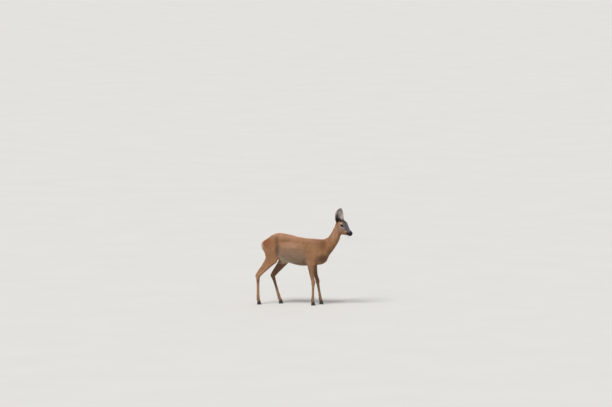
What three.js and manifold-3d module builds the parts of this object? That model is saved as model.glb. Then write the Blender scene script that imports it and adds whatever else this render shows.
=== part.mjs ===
// A roe deer doe in her short summer coat, standing at life size with her head turned a little to her right.
// Millimetres. +X is the way she faces, +Y is her left and +Z is up. Her feet stand on Z = 0.
// Every outline runs out to the tips of the coat.
import * as THREE from "three";
import { mergeVertices } from "three/addons/utils/BufferGeometryUtils.js";
import Module from "manifold-3d";

const wasm = await Module();
wasm.setup();

// ---- Driving dimensions ---------------------------------------------------------------------------------

const GAP = 0.3; // clear space between two pieces that touch
const FLESH_SIDES = { trunk: 24, neck: 20, head: 20, leg: 12 }; // facets round each part

// The trunk, from the rump to inside the breast: how far along, the height of the back, of the belly and of
// the widest place, half the width there, and how much wider the lower half is than the upper.
const TRUNK = [
  [-385, 612, 582, 600, 12, 0],
  [-374, 630, 548, 594, 44, 0],
  [-350, 645, 514, 590, 66, 0],
  [-318, 667, 488, 590, 80, 0.02],
  [-275, 700, 468, 590, 87, 0.06],
  [-235, 714, 452, 586, 89, 0.1],
  [-195, 719, 438, 574, 90, 0.12],
  [-145, 710, 424, 556, 92, 0.12],
  [-90, 702, 413, 540, 98, 0.12],
  [-35, 685, 398, 528, 103, 0.12],
  [20, 675, 390, 524, 104, 0.12],
  [75, 667, 392, 526, 98, 0.14],
  [125, 667, 398, 528, 90, 0.16],
  [170, 664, 401, 530, 82, 0.16],
  [212, 660, 405, 534, 73, 0.12],
  [246, 650, 418, 538, 60, 0.06],
  [270, 632, 440, 540, 44, 0],
  [284, 600, 480, 542, 20, 0],
];

// The neck, from inside the breast to inside the head. Each row is one cut across it: the throat's place
// forwards and up, the crest's place forwards and up, half the width, and how far right of the middle line.
const NECK = [
  [262, 436, 118, 610, 60, 0],
  [282, 470, 152, 648, 68, 0],
  [301, 508, 190, 657, 66, 0],
  [329, 544, 230, 661, 60, 0],
  [356, 581, 262, 670, 53, 0],
  [377, 616, 288, 687, 47.5, 1],
  [395, 652, 312, 720, 44, 2],
  [407, 686, 331, 757, 42, 4],
  [420, 716, 348, 790, 41, 7],
  [434, 746, 364, 822, 39, 11],
];

// The head in its own frame, from nape to nose: how far forward of the eyes, the height of the brow line, of
// the jaw line and of the widest place above the eyes' level, half the width, and how much wider the lower
// half is.
const HEAD = { forward: 438, right: 24, up: 806, turn: 21, bow: 16 };
const SKULL = [
  [-84, 12, -40, -14, 14, 0],
  [-77, 26, -56, -14, 26, 0],
  [-64, 37, -72, -14, 34, 0],
  [-44, 45, -87, -12, 39, -0.08],
  [-20, 48, -94, -6, 42.5, -0.2],
  [2, 44, -96, 0, 45.5, -0.32],
  [20, 36, -93, -6, 42, -0.3],
  [38, 22, -89, -22, 34.5, -0.22],
  [55, 5, -86, -36, 27.5, -0.12],
  [72, -11, -84, -46, 22, -0.04],
  [88, -22, -82.5, -51, 19, 0],
  [102, -29, -81, -54, 18, 0],
  [112, -34, -74.5, -54, 15, 0],
  [118.5, -40, -63, -52, 10.5, 0],
  [121.5, -46, -55, -50.5, 4, 0],
];
const EYE = { forward: 5, side: 34.5, up: 1, radius: 15.5 };
const NOSE_PAD = { forward: 103, up: -55, tilt: 24 };
const NOSTRIL = { forward: 117, side: 8.5, up: -47, length: 9, radius: 3.4 };
const MOUTH = { corner: 62, up: -60 };

// An ear is a pointed cup. Each row gives how far along its length, half its width, the half angle that its
// cup wraps, in degrees, and the thickness of its wall.
const EAR = { length: 142, back: -61, side: 27, up: 30, arc: 7, lip: 0.55 };
const EAR_SHAPE = [
  [-0.12, 14, 140, 9],
  [0, 25, 138, 9],
  [0.13, 35, 126, 7],
  [0.28, 40, 106, 5],
  [0.45, 43, 88, 4.2],
  [0.62, 40, 75, 3.8],
  [0.78, 30, 66, 3.4],
  [0.91, 14.5, 58, 3],
  [1, 3.5, 52, 2.4],
];
const EAR_STEPS = 4; // facets from the back of the cup to each edge
const EARS = {
  ear_left: { side: 1, axis: [0.11, 0.8, 0.59], facing: [0.9, -0.4, 0] },
  ear_right: { side: -1, axis: [0.26, -0.25, 0.93], facing: [0.42, -0.9, 0] },
};

const TAIL = { forward: -376, up: 604, length: 52, width: 30, depth: 26, tilt: 12 };

// The limb bones from joint to joint, and the heights of the feet.
const BONES = { fore: [196, 168, 158], hind: [180, 224, 198] };
const CORONET = 31;
const STATION_BLEND = 0.28; // share of a bone near its joints over which the limb turns into the next one

// Each row of a limb is one cut across it: the bone it is on, how far down that bone, its reach
// in front of the bone and behind it, half the width, and how much wider the front half is.
const FORE_LIMB = [
  [0, -0.12, 30, 30, 16, 0],
  [0, 0.08, 52, 50, 29, 0],
  [0, 0.3, 64, 62, 36, 0],
  [0, 0.55, 64, 56, 37, 0],
  [0, 0.8, 50, 43, 32, 0],
  [1, 0.04, 38, 34, 27, 0],
  [1, 0.2, 30, 30, 23.5, 0.05],
  [1, 0.42, 22, 28, 19, 0.1],
  [1, 0.64, 17, 24, 15.5, 0.1],
  [1, 0.84, 18, 19, 15, 0],
  [1, 0.97, 21, 18, 17.5, 0],
  [2, 0.07, 20, 19, 17, 0],
  [2, 0.2, 14, 15, 13, 0],
  [2, 0.38, 11.5, 12.5, 11, 0],
  [2, 0.72, 11, 12.5, 10.5, 0],
  [2, 0.88, 11.5, 13, 12, 0],
  [3, 0, 14, 16.5, 15, 0],
  [3, 0.45, 12, 13.5, 14, 0],
  [3, 0.85, 15, 14.5, 16, 0],
  [3, 1.25, 18, 16, 17, 0],
];
const HIND_LIMB = [
  [0, -0.24, 34, 44, 20, 0],
  [0, -0.06, 58, 74, 36, 0],
  [0, 0.2, 74, 90, 44, 0],
  [0, 0.48, 74, 94, 42, 0],
  [0, 0.76, 66, 80, 37, 0],
  [1, 0, 49, 76, 31, 0.05],
  [1, 0.18, 35, 68, 26, 0.1],
  [1, 0.36, 27, 58, 21.5, 0.15],
  [1, 0.54, 23, 51, 17.5, 0.25],
  [1, 0.72, 17, 46, 14.5, 0.35],
  [1, 0.88, 15.5, 40, 14, 0.35],
  [2, -0.01, 18, 31, 15.5, 0.15],
  [2, 0.08, 17, 23, 15.5, 0],
  [2, 0.2, 14, 16.5, 13, 0],
  [2, 0.42, 12, 13.5, 11, 0],
  [2, 0.74, 12, 13.5, 11, 0],
  [2, 0.9, 12.5, 14.5, 13, 0],
  [3, 0, 15.5, 17.5, 15.5, 0],
  [3, 0.45, 12.5, 13.5, 14, 0],
  [3, 0.85, 15.5, 14.5, 16, 0],
  [3, 1.25, 18, 16, 17, 0],
];

// Each leg: its top joint, the lean of its bones from straight down in degrees, positive forwards, and how
// far its hoof stands ahead of the fetlock. A kind of leg has one distance of each joint from the middle line.
const SPREAD = { fore: [50, 66, 60, 57, 56], hind: [44, 64, 58, 55, 54] };
const LEGS = {
  fore_right: { kind: "fore", side: -1, top: [158, 590], lean: [-12.4, 8.5, -1], step: -1 },
  fore_left: { kind: "fore", side: 1, top: [158, 590], lean: [-9.3, 14, 10], step: 9 },
  hind_right: { kind: "hind", side: -1, top: [-261, 626], lean: [-2, -41.5, 0], step: 7 },
  hind_left: { kind: "hind", side: 1, top: [-248, 592], lean: [37, -38.5, 16], step: 20 },
};

// A hoof from its coronet to its sole: height, reach ahead and behind, half the width.
const HOOF = [
  [CORONET, 17, 15, 16],
  [20, 21.5, 17, 17],
  [8, 25.5, 18.5, 17.5],
  [0, 28, 19, 17.5],
];
const CLEFT = { mouth: 8, end: 1.6, back: -11 };
const HOOF_TOE = 0.18; // how much narrower the toe half of the hoof's outline is than its heel half
const DEWCLAW = { side: 9, back: 13, up: 57, length: 24, radius: 5.5, tilt: 30 };

// ---- Where the body is parted ---------------------------------------------------------------------------

const FAR = 700; // past everything in any direction
const CLEAR = 60; // past the muzzle on every side
const EAR_BLOCK = { low: [-1, -43, -32], high: [EAR.length + 30, 43, 46] };

// Each cut across the neck: a point forwards and up, and the rise of the way the neck runs there.
const NECK_CUTS = {
  head: { at: [391, 756], rise: 22 },
  neck: { at: [283, 603], rise: 41 },
};

// The top of a leg's own piece: a sloping plane through a point, kept off the middle line, and its reach
// ahead of the leg's upper joints and behind the plane's point.
const LEG_CUTS = {
  fore: { inner: 34, at: [146, 452], slope: 24, ahead: 66, behind: 146 },
  hind: { inner: GAP / 2, at: [-262, 540], slope: -33, ahead: 66, behind: FAR },
};

// ---- Colours --------------------------------------------------------------------------------------------

const COAT = new THREE.Color("#9a6a45");
const NECK_COAT = new THREE.Color("#a37450");
const RUMP_COAT = new THREE.Color("#cbb78f");
const HORN = new THREE.Color("#2a2320");
const EYE_COLOUR = new THREE.Color("#1a1210");
const NOSE_COLOUR = new THREE.Color("#1c1a1c");

function finish(colour, roughness) {
  return new THREE.MeshStandardMaterial({ color: colour, roughness, metalness: 0 });
}

// ---- Shapes ---------------------------------------------------------------------------------------------

const degrees = (angle) => THREE.MathUtils.degToRad(angle);
const AHEAD = new THREE.Vector3(1, 0, 0);
const LEFTWARD = new THREE.Vector3(0, 1, 0);
const UPWARD = new THREE.Vector3(0, 0, 1);

// One closed section of a body: an ellipse with its own reach above and below the widest place.
function ring({ at, side, lift, width, above, below, heavy = 0 }, sides) {
  const points = [];
  for (let step = 0; step < sides; step += 1) {
    const angle = (2 * Math.PI * step) / sides;
    const rise = Math.sin(angle);
    const half = width * Math.cos(angle) * (1 - heavy * rise);
    const point = at.clone().addScaledVector(side, half);
    points.push(point.addScaledVector(lift, rise * (rise > 0 ? above : below)));
  }
  return points;
}

// More rings between the given ones, each point along its own smooth curve.
function refine(rings, steps) {
  const curves = rings[0].map((_, column) => {
    return new THREE.CatmullRomCurve3(rings.map((points) => points[column]), false, "centripetal");
  });
  const count = (rings.length - 1) * steps;
  const rows = [];
  for (let row = 0; row <= count; row += 1) {
    rows.push(curves.map((curve) => curve.getPoint(row / count)));
  }
  return rows;
}

function middle(points) {
  const sum = new THREE.Vector3();
  points.forEach((point) => sum.add(point));
  return sum.divideScalar(points.length);
}

// A closed skin over a row of rings, with a fan over each end.
function loft(rings) {
  const sides = rings[0].length;
  const last = rings.length - 1;
  const points = rings.flat();
  points.push(middle(rings[0]), middle(rings[last]));
  const faces = [];
  for (let row = 0; row < last; row += 1) {
    for (let column = 0; column < sides; column += 1) {
      const next = (column + 1) % sides;
      const a = row * sides + column;
      const b = row * sides + next;
      faces.push(a, b, b + sides, a, b + sides, a + sides);
    }
  }
  for (let column = 0; column < sides; column += 1) {
    const next = (column + 1) % sides;
    faces.push(next, column, points.length - 2);
    faces.push(last * sides + column, last * sides + next, points.length - 1);
  }
  const geometry = new THREE.BufferGeometry().setFromPoints(points);
  geometry.setIndex(faces);
  return geometry;
}

function signedVolume(position, faces) {
  const corner = faces.map((index) => new THREE.Vector3().fromBufferAttribute(position, index));
  let volume = 0;
  for (let face = 0; face < corner.length; face += 3) {
    volume += corner[face].dot(corner[face + 1].clone().cross(corner[face + 2]));
  }
  return volume;
}

// A solid ready to be joined and cut, with its faces pointing out.
function solid(geometry) {
  geometry.deleteAttribute("normal");
  geometry.deleteAttribute("uv");
  const merged = mergeVertices(geometry);
  let faces = Array.from(merged.index.array);
  if (signedVolume(merged.attributes.position, faces) < 0) {
    faces = faces.reverse();
  }
  const mesh = new wasm.Mesh({
    numProp: 3,
    vertProperties: new Float32Array(merged.attributes.position.array),
    triVerts: new Uint32Array(faces),
  });
  return new wasm.Manifold(mesh);
}

// A block that fills part of space, given in a frame of its own, for parting the body into its pieces.
function block(low, high, frame, grow = 0) {
  const size = high.map((value, index) => value - low[index] + 2 * grow);
  const centre = high.map((value, index) => (value + low[index]) / 2);
  const geometry = new THREE.BoxGeometry(...size);
  geometry.translate(...centre);
  geometry.applyMatrix4(frame);
  return solid(geometry);
}

// The frame of a cut across the neck: it passes through a point, and its own X axis rises by an angle.
function neckFrame(x, z, rise) {
  const frame = new THREE.Matrix4().makeRotationY(-degrees(rise));
  return frame.setPosition(x, 0, z);
}

// The frame of a cut across the top of a leg: its sides stay upright while its top slopes by an angle.
function slopeFrame(x, z, slope) {
  const along = new THREE.Vector3(1, 0, Math.tan(degrees(slope)));
  return new THREE.Matrix4().makeBasis(along, LEFTWARD, UPWARD).setPosition(x, 0, z);
}

// ---- Trunk, neck and tail -------------------------------------------------------------------------------

function trunkSolid() {
  const rings = TRUNK.map(([x, back, belly, widest, width, heavy]) => {
    const at = new THREE.Vector3(x, 0, widest);
    const reach = { above: back - widest, below: widest - belly };
    return ring({ at, side: LEFTWARD, lift: UPWARD, width, heavy, ...reach }, FLESH_SIDES.trunk);
  });
  return solid(loft(rings));
}

function neckSolid() {
  const rings = NECK.map(([throatX, throatZ, crestX, crestZ, width, right]) => {
    const throat = new THREE.Vector3(throatX, -right, throatZ);
    const crest = new THREE.Vector3(crestX, -right, crestZ);
    const half = throat.distanceTo(crest) / 2;
    const lift = crest.clone().sub(throat).normalize();
    const at = throat.add(crest).multiplyScalar(0.5);
    return ring({ at, side: LEFTWARD, lift, width, above: half, below: half }, FLESH_SIDES.neck);
  });
  return solid(loft(rings));
}

function tailSolid(grow) {
  const geometry = new THREE.SphereGeometry(1, 10, 7);
  geometry.scale(TAIL.depth / 2 + grow, TAIL.width / 2 + grow, TAIL.length / 2 + grow);
  geometry.rotateY(degrees(TAIL.tilt));
  geometry.translate(TAIL.forward, 0, TAIL.up);
  return solid(geometry);
}

// ---- Head and ears --------------------------------------------------------------------------------------

const HEAD_FRAME = new THREE.Matrix4()
  .makeRotationZ(-degrees(HEAD.turn))
  .multiply(new THREE.Matrix4().makeRotationY(degrees(HEAD.bow)))
  .setPosition(HEAD.forward, -HEAD.right, HEAD.up);

function headSolid() {
  const rings = SKULL.map(([x, brow, jaw, widest, width, heavy]) => {
    const at = new THREE.Vector3(x, 0, widest);
    const reach = { above: brow - widest, below: widest - jaw };
    return ring({ at, side: LEFTWARD, lift: UPWARD, width, heavy, ...reach }, FLESH_SIDES.head);
  });
  const geometry = loft(refine(rings, 2));
  geometry.applyMatrix4(HEAD_FRAME);
  return solid(geometry);
}

function eyeSolid(side, grow) {
  const geometry = new THREE.SphereGeometry(EYE.radius + grow, 14, 7);
  geometry.translate(EYE.forward, side * EYE.side, EYE.up);
  geometry.applyMatrix4(HEAD_FRAME);
  return solid(geometry);
}

function nostrilSolid(side) {
  const geometry = new THREE.SphereGeometry(NOSTRIL.radius, 6, 4);
  geometry.scale(NOSTRIL.length / NOSTRIL.radius, 1, 1);
  geometry.rotateZ(side * degrees(30));
  geometry.translate(NOSTRIL.forward, side * NOSTRIL.side, NOSTRIL.up);
  geometry.applyMatrix4(HEAD_FRAME);
  return solid(geometry);
}

// The frame of an ear: X along its length, Y across it and Z the way its cup opens.
function earFrame({ side, axis, facing }) {
  const root = new THREE.Vector3(EAR.back, side * EAR.side, EAR.up).applyMatrix4(HEAD_FRAME);
  const along = new THREE.Vector3(...axis).normalize();
  const across = new THREE.Vector3(...facing).cross(along).normalize();
  const open = along.clone().cross(across);
  return new THREE.Matrix4().makeBasis(along, across, open).setPosition(root);
}

// One section of the ear: round the back of the cup and home along its inner face.
function earRing([along, width, wrap, thick]) {
  const radius = width / Math.sin(Math.min(degrees(wrap), Math.PI / 2));
  const bow = EAR.arc * Math.sin(Math.PI * Math.max(along, 0));
  const walk = (wall, sign) => {
    const points = [];
    for (let step = -EAR_STEPS; step <= EAR_STEPS; step += 1) {
      const share = (sign * step) / EAR_STEPS;
      const angle = degrees(wrap) * share;
      const reach = radius - wall * (1 - EAR.lip * share * share);
      const across = reach * Math.sin(angle);
      const open = radius - reach * Math.cos(angle) - radius / 2 - bow;
      points.push(new THREE.Vector3(along * EAR.length, across, open));
    }
    return points;
  };
  return [...walk(0, 1), ...walk(thick, -1)];
}

function earSolid(pose) {
  const geometry = loft(EAR_SHAPE.map(earRing));
  geometry.applyMatrix4(earFrame(pose));
  return solid(geometry);
}

// ---- Legs -----------------------------------------------------------------------------------------------

// The joints of a leg, from its top to its coronet.
function joints(leg) {
  const places = [[leg.top[0], leg.top[1]]];
  BONES[leg.kind].forEach((length, bone) => {
    const [x, z] = places[bone];
    const lean = degrees(leg.lean[bone]);
    places.push([x + length * Math.sin(lean), z - length * Math.cos(lean)]);
  });
  places.push([places[3][0] + leg.step, CORONET]);
  return places.map(([x, z], index) => new THREE.Vector3(x, leg.side * SPREAD[leg.kind][index], z));
}

// The lean of a limb at a place on a bone: its own lean, turned towards the next bone's near a joint.
function leanAt(points, bone, share) {
  const lean = (index) => {
    const down = points[index + 1].clone().sub(points[index]);
    return Math.atan2(down.x, -down.z);
  };
  const own = lean(bone);
  if (share < STATION_BLEND && bone > 0) {
    const mix = 0.5 * (1 - Math.max(share, 0) / STATION_BLEND);
    return THREE.MathUtils.lerp(own, lean(bone - 1), mix);
  }
  if (share > 1 - STATION_BLEND && bone < points.length - 2) {
    const mix = 0.5 * (1 - (1 - Math.min(share, 1)) / STATION_BLEND);
    return THREE.MathUtils.lerp(own, lean(bone + 1), mix);
  }
  return own;
}

function limbSolid(leg) {
  const points = joints(leg);
  const rows = leg.kind === "fore" ? FORE_LIMB : HIND_LIMB;
  const rings = rows.map(([bone, share, front, behind, width, heavy]) => {
    const at = points[bone].clone().lerp(points[bone + 1], share);
    const lean = leanAt(points, bone, share);
    const lift = new THREE.Vector3(Math.cos(lean), 0, Math.sin(lean));
    const reach = { above: front, below: behind };
    return ring({ at, side: LEFTWARD, lift, width, heavy: -heavy, ...reach }, FLESH_SIDES.leg);
  });
  const limb = solid(loft(rings));
  const foot = block([-CLEAR, -CLEAR, -CLEAR], [CLEAR, CLEAR, CORONET + GAP], footFrame(leg));
  return limb.subtract(foot);
}

function footFrame(leg) {
  const coronet = joints(leg)[4];
  return new THREE.Matrix4().makeTranslation(coronet.x, coronet.y, 0);
}

// A hoof is one horn shoe with a cleft from its toe nearly to its heel.
function hoofSolid(leg) {
  const rings = HOOF.map(([z, front, behind, width]) => {
    const at = new THREE.Vector3(0, 0, z);
    const reach = { above: front, below: behind };
    return ring({ at, side: LEFTWARD, lift: AHEAD, width, heavy: HOOF_TOE, ...reach }, FLESH_SIDES.leg);
  });
  const geometry = loft(rings);
  const cleft = new THREE.Shape();
  cleft.moveTo(CLEFT.back, -CLEFT.end);
  cleft.lineTo(2 * HOOF[0][1], -CLEFT.mouth / 2);
  cleft.lineTo(2 * HOOF[0][1], CLEFT.mouth / 2);
  cleft.lineTo(CLEFT.back, CLEFT.end);
  const slot = new THREE.ExtrudeGeometry(cleft, { depth: 2 * CORONET, bevelEnabled: false });
  slot.translate(0, 0, -CORONET / 2);
  geometry.applyMatrix4(footFrame(leg));
  slot.applyMatrix4(footFrame(leg));
  return solid(geometry).subtract(solid(slot));
}

// A dewclaw hangs behind the pastern, point down and back.
function dewclawSolid(leg, side, grow) {
  const geometry = new THREE.SphereGeometry(1, 6, 3);
  geometry.scale(DEWCLAW.radius + grow, DEWCLAW.radius + grow, DEWCLAW.length / 2 + grow);
  geometry.rotateY(degrees(DEWCLAW.tilt));
  const [, , , fetlock, coronet] = joints(leg);
  const share = (fetlock.z - DEWCLAW.up) / (fetlock.z - coronet.z);
  const at = fetlock.clone().lerp(coronet, share);
  geometry.translate(at.x - DEWCLAW.back, at.y + side * DEWCLAW.side, at.z);
  return solid(geometry);
}

// ---- The whole doe, parted by thin cuts -----------------------------------------------------------------

// Each piece is the flesh inside a block. A later block takes only what the earlier ones leave.
function pieceBlocks() {
  const blocks = [];
  const add = (name, low, high, frame) => blocks.push({ name, low, high, frame });
  Object.entries(EARS).forEach(([name, pose]) => {
    add(name, EAR_BLOCK.low, EAR_BLOCK.high, earFrame(pose));
  });
  add("nose", [0, -CLEAR, 0], [CLEAR, CLEAR, CLEAR], padFrame());
  add("lower_jaw", [MOUTH.corner, -CLEAR, -CLEAR], [FAR, CLEAR, 0], mouthFrame());
  Object.entries(NECK_CUTS).forEach(([name, { at, rise }]) => {
    add(name, [0, -FAR, -FAR], [FAR, FAR, FAR], neckFrame(...at, rise));
  });
  Object.entries(LEGS).forEach(([name, leg]) => {
    const { inner, at, slope, ahead, behind } = LEG_CUTS[leg.kind];
    const [near, far] = [leg.side * inner, leg.side * FAR];
    const front = Math.max(leg.top[0], joints(leg)[1].x) + ahead;
    const low = [-behind, Math.min(near, far), -FAR];
    const high = [front - at[0], Math.max(near, far), 0];
    add(`leg_${name}`, low, high, slopeFrame(...at, slope));
  });
  return blocks;
}

function padFrame() {
  const local = new THREE.Matrix4().makeRotationY(degrees(NOSE_PAD.tilt));
  local.setPosition(NOSE_PAD.forward, 0, NOSE_PAD.up);
  return HEAD_FRAME.clone().multiply(local);
}

function mouthFrame() {
  return HEAD_FRAME.clone().multiply(new THREE.Matrix4().makeTranslation(0, 0, MOUTH.up));
}

const doe = new THREE.Group();

function addMesh(name, body, material) {
  const { vertProperties, triVerts } = body.getMesh();
  const geometry = new THREE.BufferGeometry();
  geometry.setAttribute("position", new THREE.BufferAttribute(new Float32Array(vertProperties), 3));
  geometry.setIndex(new THREE.BufferAttribute(new Uint32Array(triVerts), 1));
  geometry.computeVertexNormals();
  const mesh = new THREE.Mesh(geometry, material);
  mesh.name = name;
  doe.add(mesh);
}

let flesh = trunkSolid().add(neckSolid()).add(headSolid());
Object.values(EARS).forEach((pose) => {
  flesh = flesh.add(earSolid(pose));
});
Object.values(LEGS).forEach((leg) => {
  flesh = flesh.add(limbSolid(leg));
});

// Eyes, nostrils, tail and dewclaws sit in hollows of their own.
[-1, 1].forEach((side) => {
  addMesh(side < 0 ? "eye_right" : "eye_left", eyeSolid(side, 0), finish(EYE_COLOUR, 0.1));
  flesh = flesh.subtract(eyeSolid(side, GAP)).subtract(nostrilSolid(side));
});
addMesh("tail", tailSolid(0), finish(RUMP_COAT, 0.9));
flesh = flesh.subtract(tailSolid(GAP));
Object.entries(LEGS).forEach(([name, leg]) => {
  addMesh(`hoof_${name}`, hoofSolid(leg), finish(HORN, 0.45));
  [-1, 1].forEach((side) => {
    const place = side * leg.side > 0 ? "outer" : "inner";
    addMesh(`dewclaw_${name}_${place}`, dewclawSolid(leg, side, 0), finish(HORN, 0.5));
    flesh = flesh.subtract(dewclawSolid(leg, side, GAP));
  });
});

const FINISHES = {
  nose: finish(NOSE_COLOUR, 0.4),
  neck: finish(NECK_COAT, 0.9),
};
pieceBlocks().forEach(({ name, low, high, frame }) => {
  const piece = flesh.intersect(block(low, high, frame));
  flesh = flesh.subtract(block(low, high, frame, GAP));
  addMesh(name, piece, FINISHES[name] ?? finish(COAT, 0.9));
});
addMesh("trunk", flesh, finish(COAT, 0.9));

// The origin lies on the floor under the middle of the whole box.
const box = new THREE.Box3().setFromObject(doe);
const centre = box.getCenter(new THREE.Vector3());
doe.position.set(-centre.x, -centre.y, -box.min.z);

export default doe;
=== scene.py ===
"""A roe deer doe standing at life size: one skin, a coat of small tufts over it, and her eyes, lids,
nose leather, hooves and dewclaws.

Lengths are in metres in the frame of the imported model. The doe faces +X and stands on z = 0. Places on
her are written in millimetres from the body's own origin, or from the head's, and turned to metres once.
"""

import math

import bmesh
import bpy
import numpy as np
from mathutils import Matrix, Vector
from mathutils.bvhtree import BVHTree


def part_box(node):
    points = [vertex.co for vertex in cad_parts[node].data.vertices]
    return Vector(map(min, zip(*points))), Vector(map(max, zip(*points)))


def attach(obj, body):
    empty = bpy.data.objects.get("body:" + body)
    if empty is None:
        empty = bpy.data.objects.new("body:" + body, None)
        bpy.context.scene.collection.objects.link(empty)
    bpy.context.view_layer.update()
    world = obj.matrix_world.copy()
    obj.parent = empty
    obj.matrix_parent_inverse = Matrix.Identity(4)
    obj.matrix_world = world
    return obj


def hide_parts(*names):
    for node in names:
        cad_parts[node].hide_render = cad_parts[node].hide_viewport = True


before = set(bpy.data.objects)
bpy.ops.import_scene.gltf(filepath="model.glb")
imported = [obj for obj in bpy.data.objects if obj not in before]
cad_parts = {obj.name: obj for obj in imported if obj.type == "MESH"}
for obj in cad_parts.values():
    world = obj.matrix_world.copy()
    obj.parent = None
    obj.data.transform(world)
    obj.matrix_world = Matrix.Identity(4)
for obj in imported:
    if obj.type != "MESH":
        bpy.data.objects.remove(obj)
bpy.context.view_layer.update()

MM = 0.001
SEED = 20
LEGS = ("fore_right", "fore_left", "hind_right", "hind_left")
FLESH = ("head", "lower_jaw", "neck", "trunk", "tail", "ear_left", "ear_right")
FLESH += tuple("leg_" + leg for leg in LEGS)
KINDS = np.array([node.split("_")[0] if node[:3] in ("ear", "leg") else node for node in FLESH])
FACE = ("head", "lower_jaw")

# ---- Camera ---------------------------------------------------------------------------------------------

VIEW_AZIMUTH = math.radians(8)
VIEW_ELEVATION = math.radians(6)
VIEW_DISTANCE = 40.0
VIEW_WIDTH = 6.12  # how much the view takes in across, at the doe
SENSOR = 36.0
AIM_RIGHT, AIM_UP = 0.0117, 1.0082  # the middle of the view, along its own right and up


def make_camera():
    """A long lens far off, as wildlife is seen, so the doe is nearly without perspective."""
    a, e = VIEW_AZIMUTH, VIEW_ELEVATION
    back = Vector((math.sin(a) * math.cos(e), -math.cos(a) * math.cos(e), math.sin(e)))
    right = Vector((math.cos(a), math.sin(a), 0))
    up = back.cross(right)
    data = bpy.data.cameras.new("camera")
    data.sensor_width = SENSOR
    data.lens = SENSOR * VIEW_DISTANCE / VIEW_WIDTH
    data.clip_start, data.clip_end = 1.0, 1000.0
    camera = bpy.data.objects.new("camera", data)
    camera.location = right * AIM_RIGHT + up * AIM_UP + back * VIEW_DISTANCE
    camera.rotation_euler = (-back).to_track_quat("-Z", "Y").to_euler()
    bpy.context.scene.collection.objects.link(camera)
    bpy.context.scene.camera = camera


make_camera()

# ---- Places: the head's frame, the body's frame and the legs --------------------------------------------

HEAD_TURN, HEAD_BOW = math.radians(-21), math.radians(16)
EYE_AHEAD, EYE_UP = 5 * MM, 1 * MM  # the eyes' place in the head's frame
HEAD_IN_BODY = Vector((438, -24, 806)) * MM


def middle_of(node):
    """The middle of a CAD node's box."""
    low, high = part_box(node)
    return (low + high) / 2


head_axes = Matrix.Rotation(HEAD_TURN, 3, "Z") @ Matrix.Rotation(HEAD_BOW, 3, "Y")
eyes_middle = (middle_of("eye_left") + middle_of("eye_right")) / 2
head_origin = eyes_middle - head_axes @ Vector((EYE_AHEAD, 0, EYE_UP))
HEAD_AXES, HEAD_ORIGIN = np.array(head_axes), np.array(head_origin)
BODY_ORIGIN = np.array(head_origin - HEAD_IN_BODY)

# The joints of each leg in the body's frame: shoulder or hip, elbow or stifle, knee or hock, fetlock and
# coronet.
JOINTS = {
    "fore_right": ((158, -50, 590), (116, -66, 399), (141, -60, 232), (138, -57, 74), (137, -56, 31)),
    "fore_left": ((158, 50, 590), (126, 66, 397), (167, 60, 234), (194, 57, 78), (203, 56, 31)),
    "hind_right": ((-261, -44, 626), (-267, -64, 446), (-416, -58, 278), (-416, -55, 80), (-409, -54, 31)),
    "hind_left": ((-248, 44, 592), (-140, 64, 448), (-279, 58, 273), (-225, 55, 83), (-205, 54, 31)),
}
JOINTS = {leg: np.array(joints, float) for leg, joints in JOINTS.items()}
EARS = {
    "ear_left": {"side": 1, "axis": (0.11, 0.8, 0.59), "facing": (0.9, -0.4, 0)},
    "ear_right": {"side": -1, "axis": (0.26, -0.25, 0.93), "facing": (0.42, -0.9, 0)},
}
EAR_LENGTH, EAR_ROOT = 142, (-61, 27, 30)  # how long an ear is, and where it starts in the head's frame


def in_body(points):
    """Points as places in the body's frame, in millimetres."""
    return (points - BODY_ORIGIN) / MM


def in_head(points):
    """Points as places in the head's frame, in millimetres."""
    return (points - HEAD_ORIGIN) @ HEAD_AXES / MM


def on_head(place):
    """A place in the head's frame as a point."""
    return HEAD_ORIGIN + HEAD_AXES @ (np.array(place, float) * MM)


def unit(vectors):
    """Vectors made one long."""
    vectors = np.asarray(vectors, float)
    length = np.linalg.norm(vectors, axis=-1, keepdims=True)
    return vectors / np.maximum(length, 1e-9)


def fade(value, start, end):
    """0 at start, 1 at end, and smooth between them, whichever of them is the larger."""
    share = np.clip((value - start) / (end - start), 0, 1)
    return share * share * (3 - 2 * share)


def spot(places, centre, radii, soft=0.5):
    """1 inside an egg-shaped spot and 0 outside it, with a soft edge that is a share of its radii."""
    far = np.linalg.norm((places - np.array(centre)) / np.array(radii), axis=1)
    return 1 - fade(far, 1 - soft, 1 + soft)


def marks(places, rows, soft):
    """The strongest of some spots at each place: rows of centre, reach, amount and maybe softness."""
    total = np.zeros(len(places))
    for centre, reach, amount, *own_soft in rows:
        total = np.maximum(total, amount * spot(places, centre, reach, *(own_soft or [soft])))
    return total


def most(*layers):
    """The strongest of several layers at each point."""
    return np.maximum.reduce(layers)


def both_sides(points):
    """Points as places on the head and on the body, folded over onto the left side."""
    head, body = in_head(points), in_body(points)
    for places in (head, body):
        places[:, 1] = np.abs(places[:, 1])
    return head, body


def wander(places, wavelength, seed):
    """A smooth field of about -1 to 1 that changes over about one wavelength."""
    random = np.random.default_rng(seed)
    total = np.zeros(len(places))
    for _ in range(6):
        direction = unit(random.normal(size=3))
        pace = 2 * math.pi / (wavelength * random.uniform(0.7, 1.4))
        total += np.sin(places @ direction * pace + random.uniform(0, 2 * math.pi))
    return total / 3.5


# ---- Meshes as arrays -----------------------------------------------------------------------------------


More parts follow.
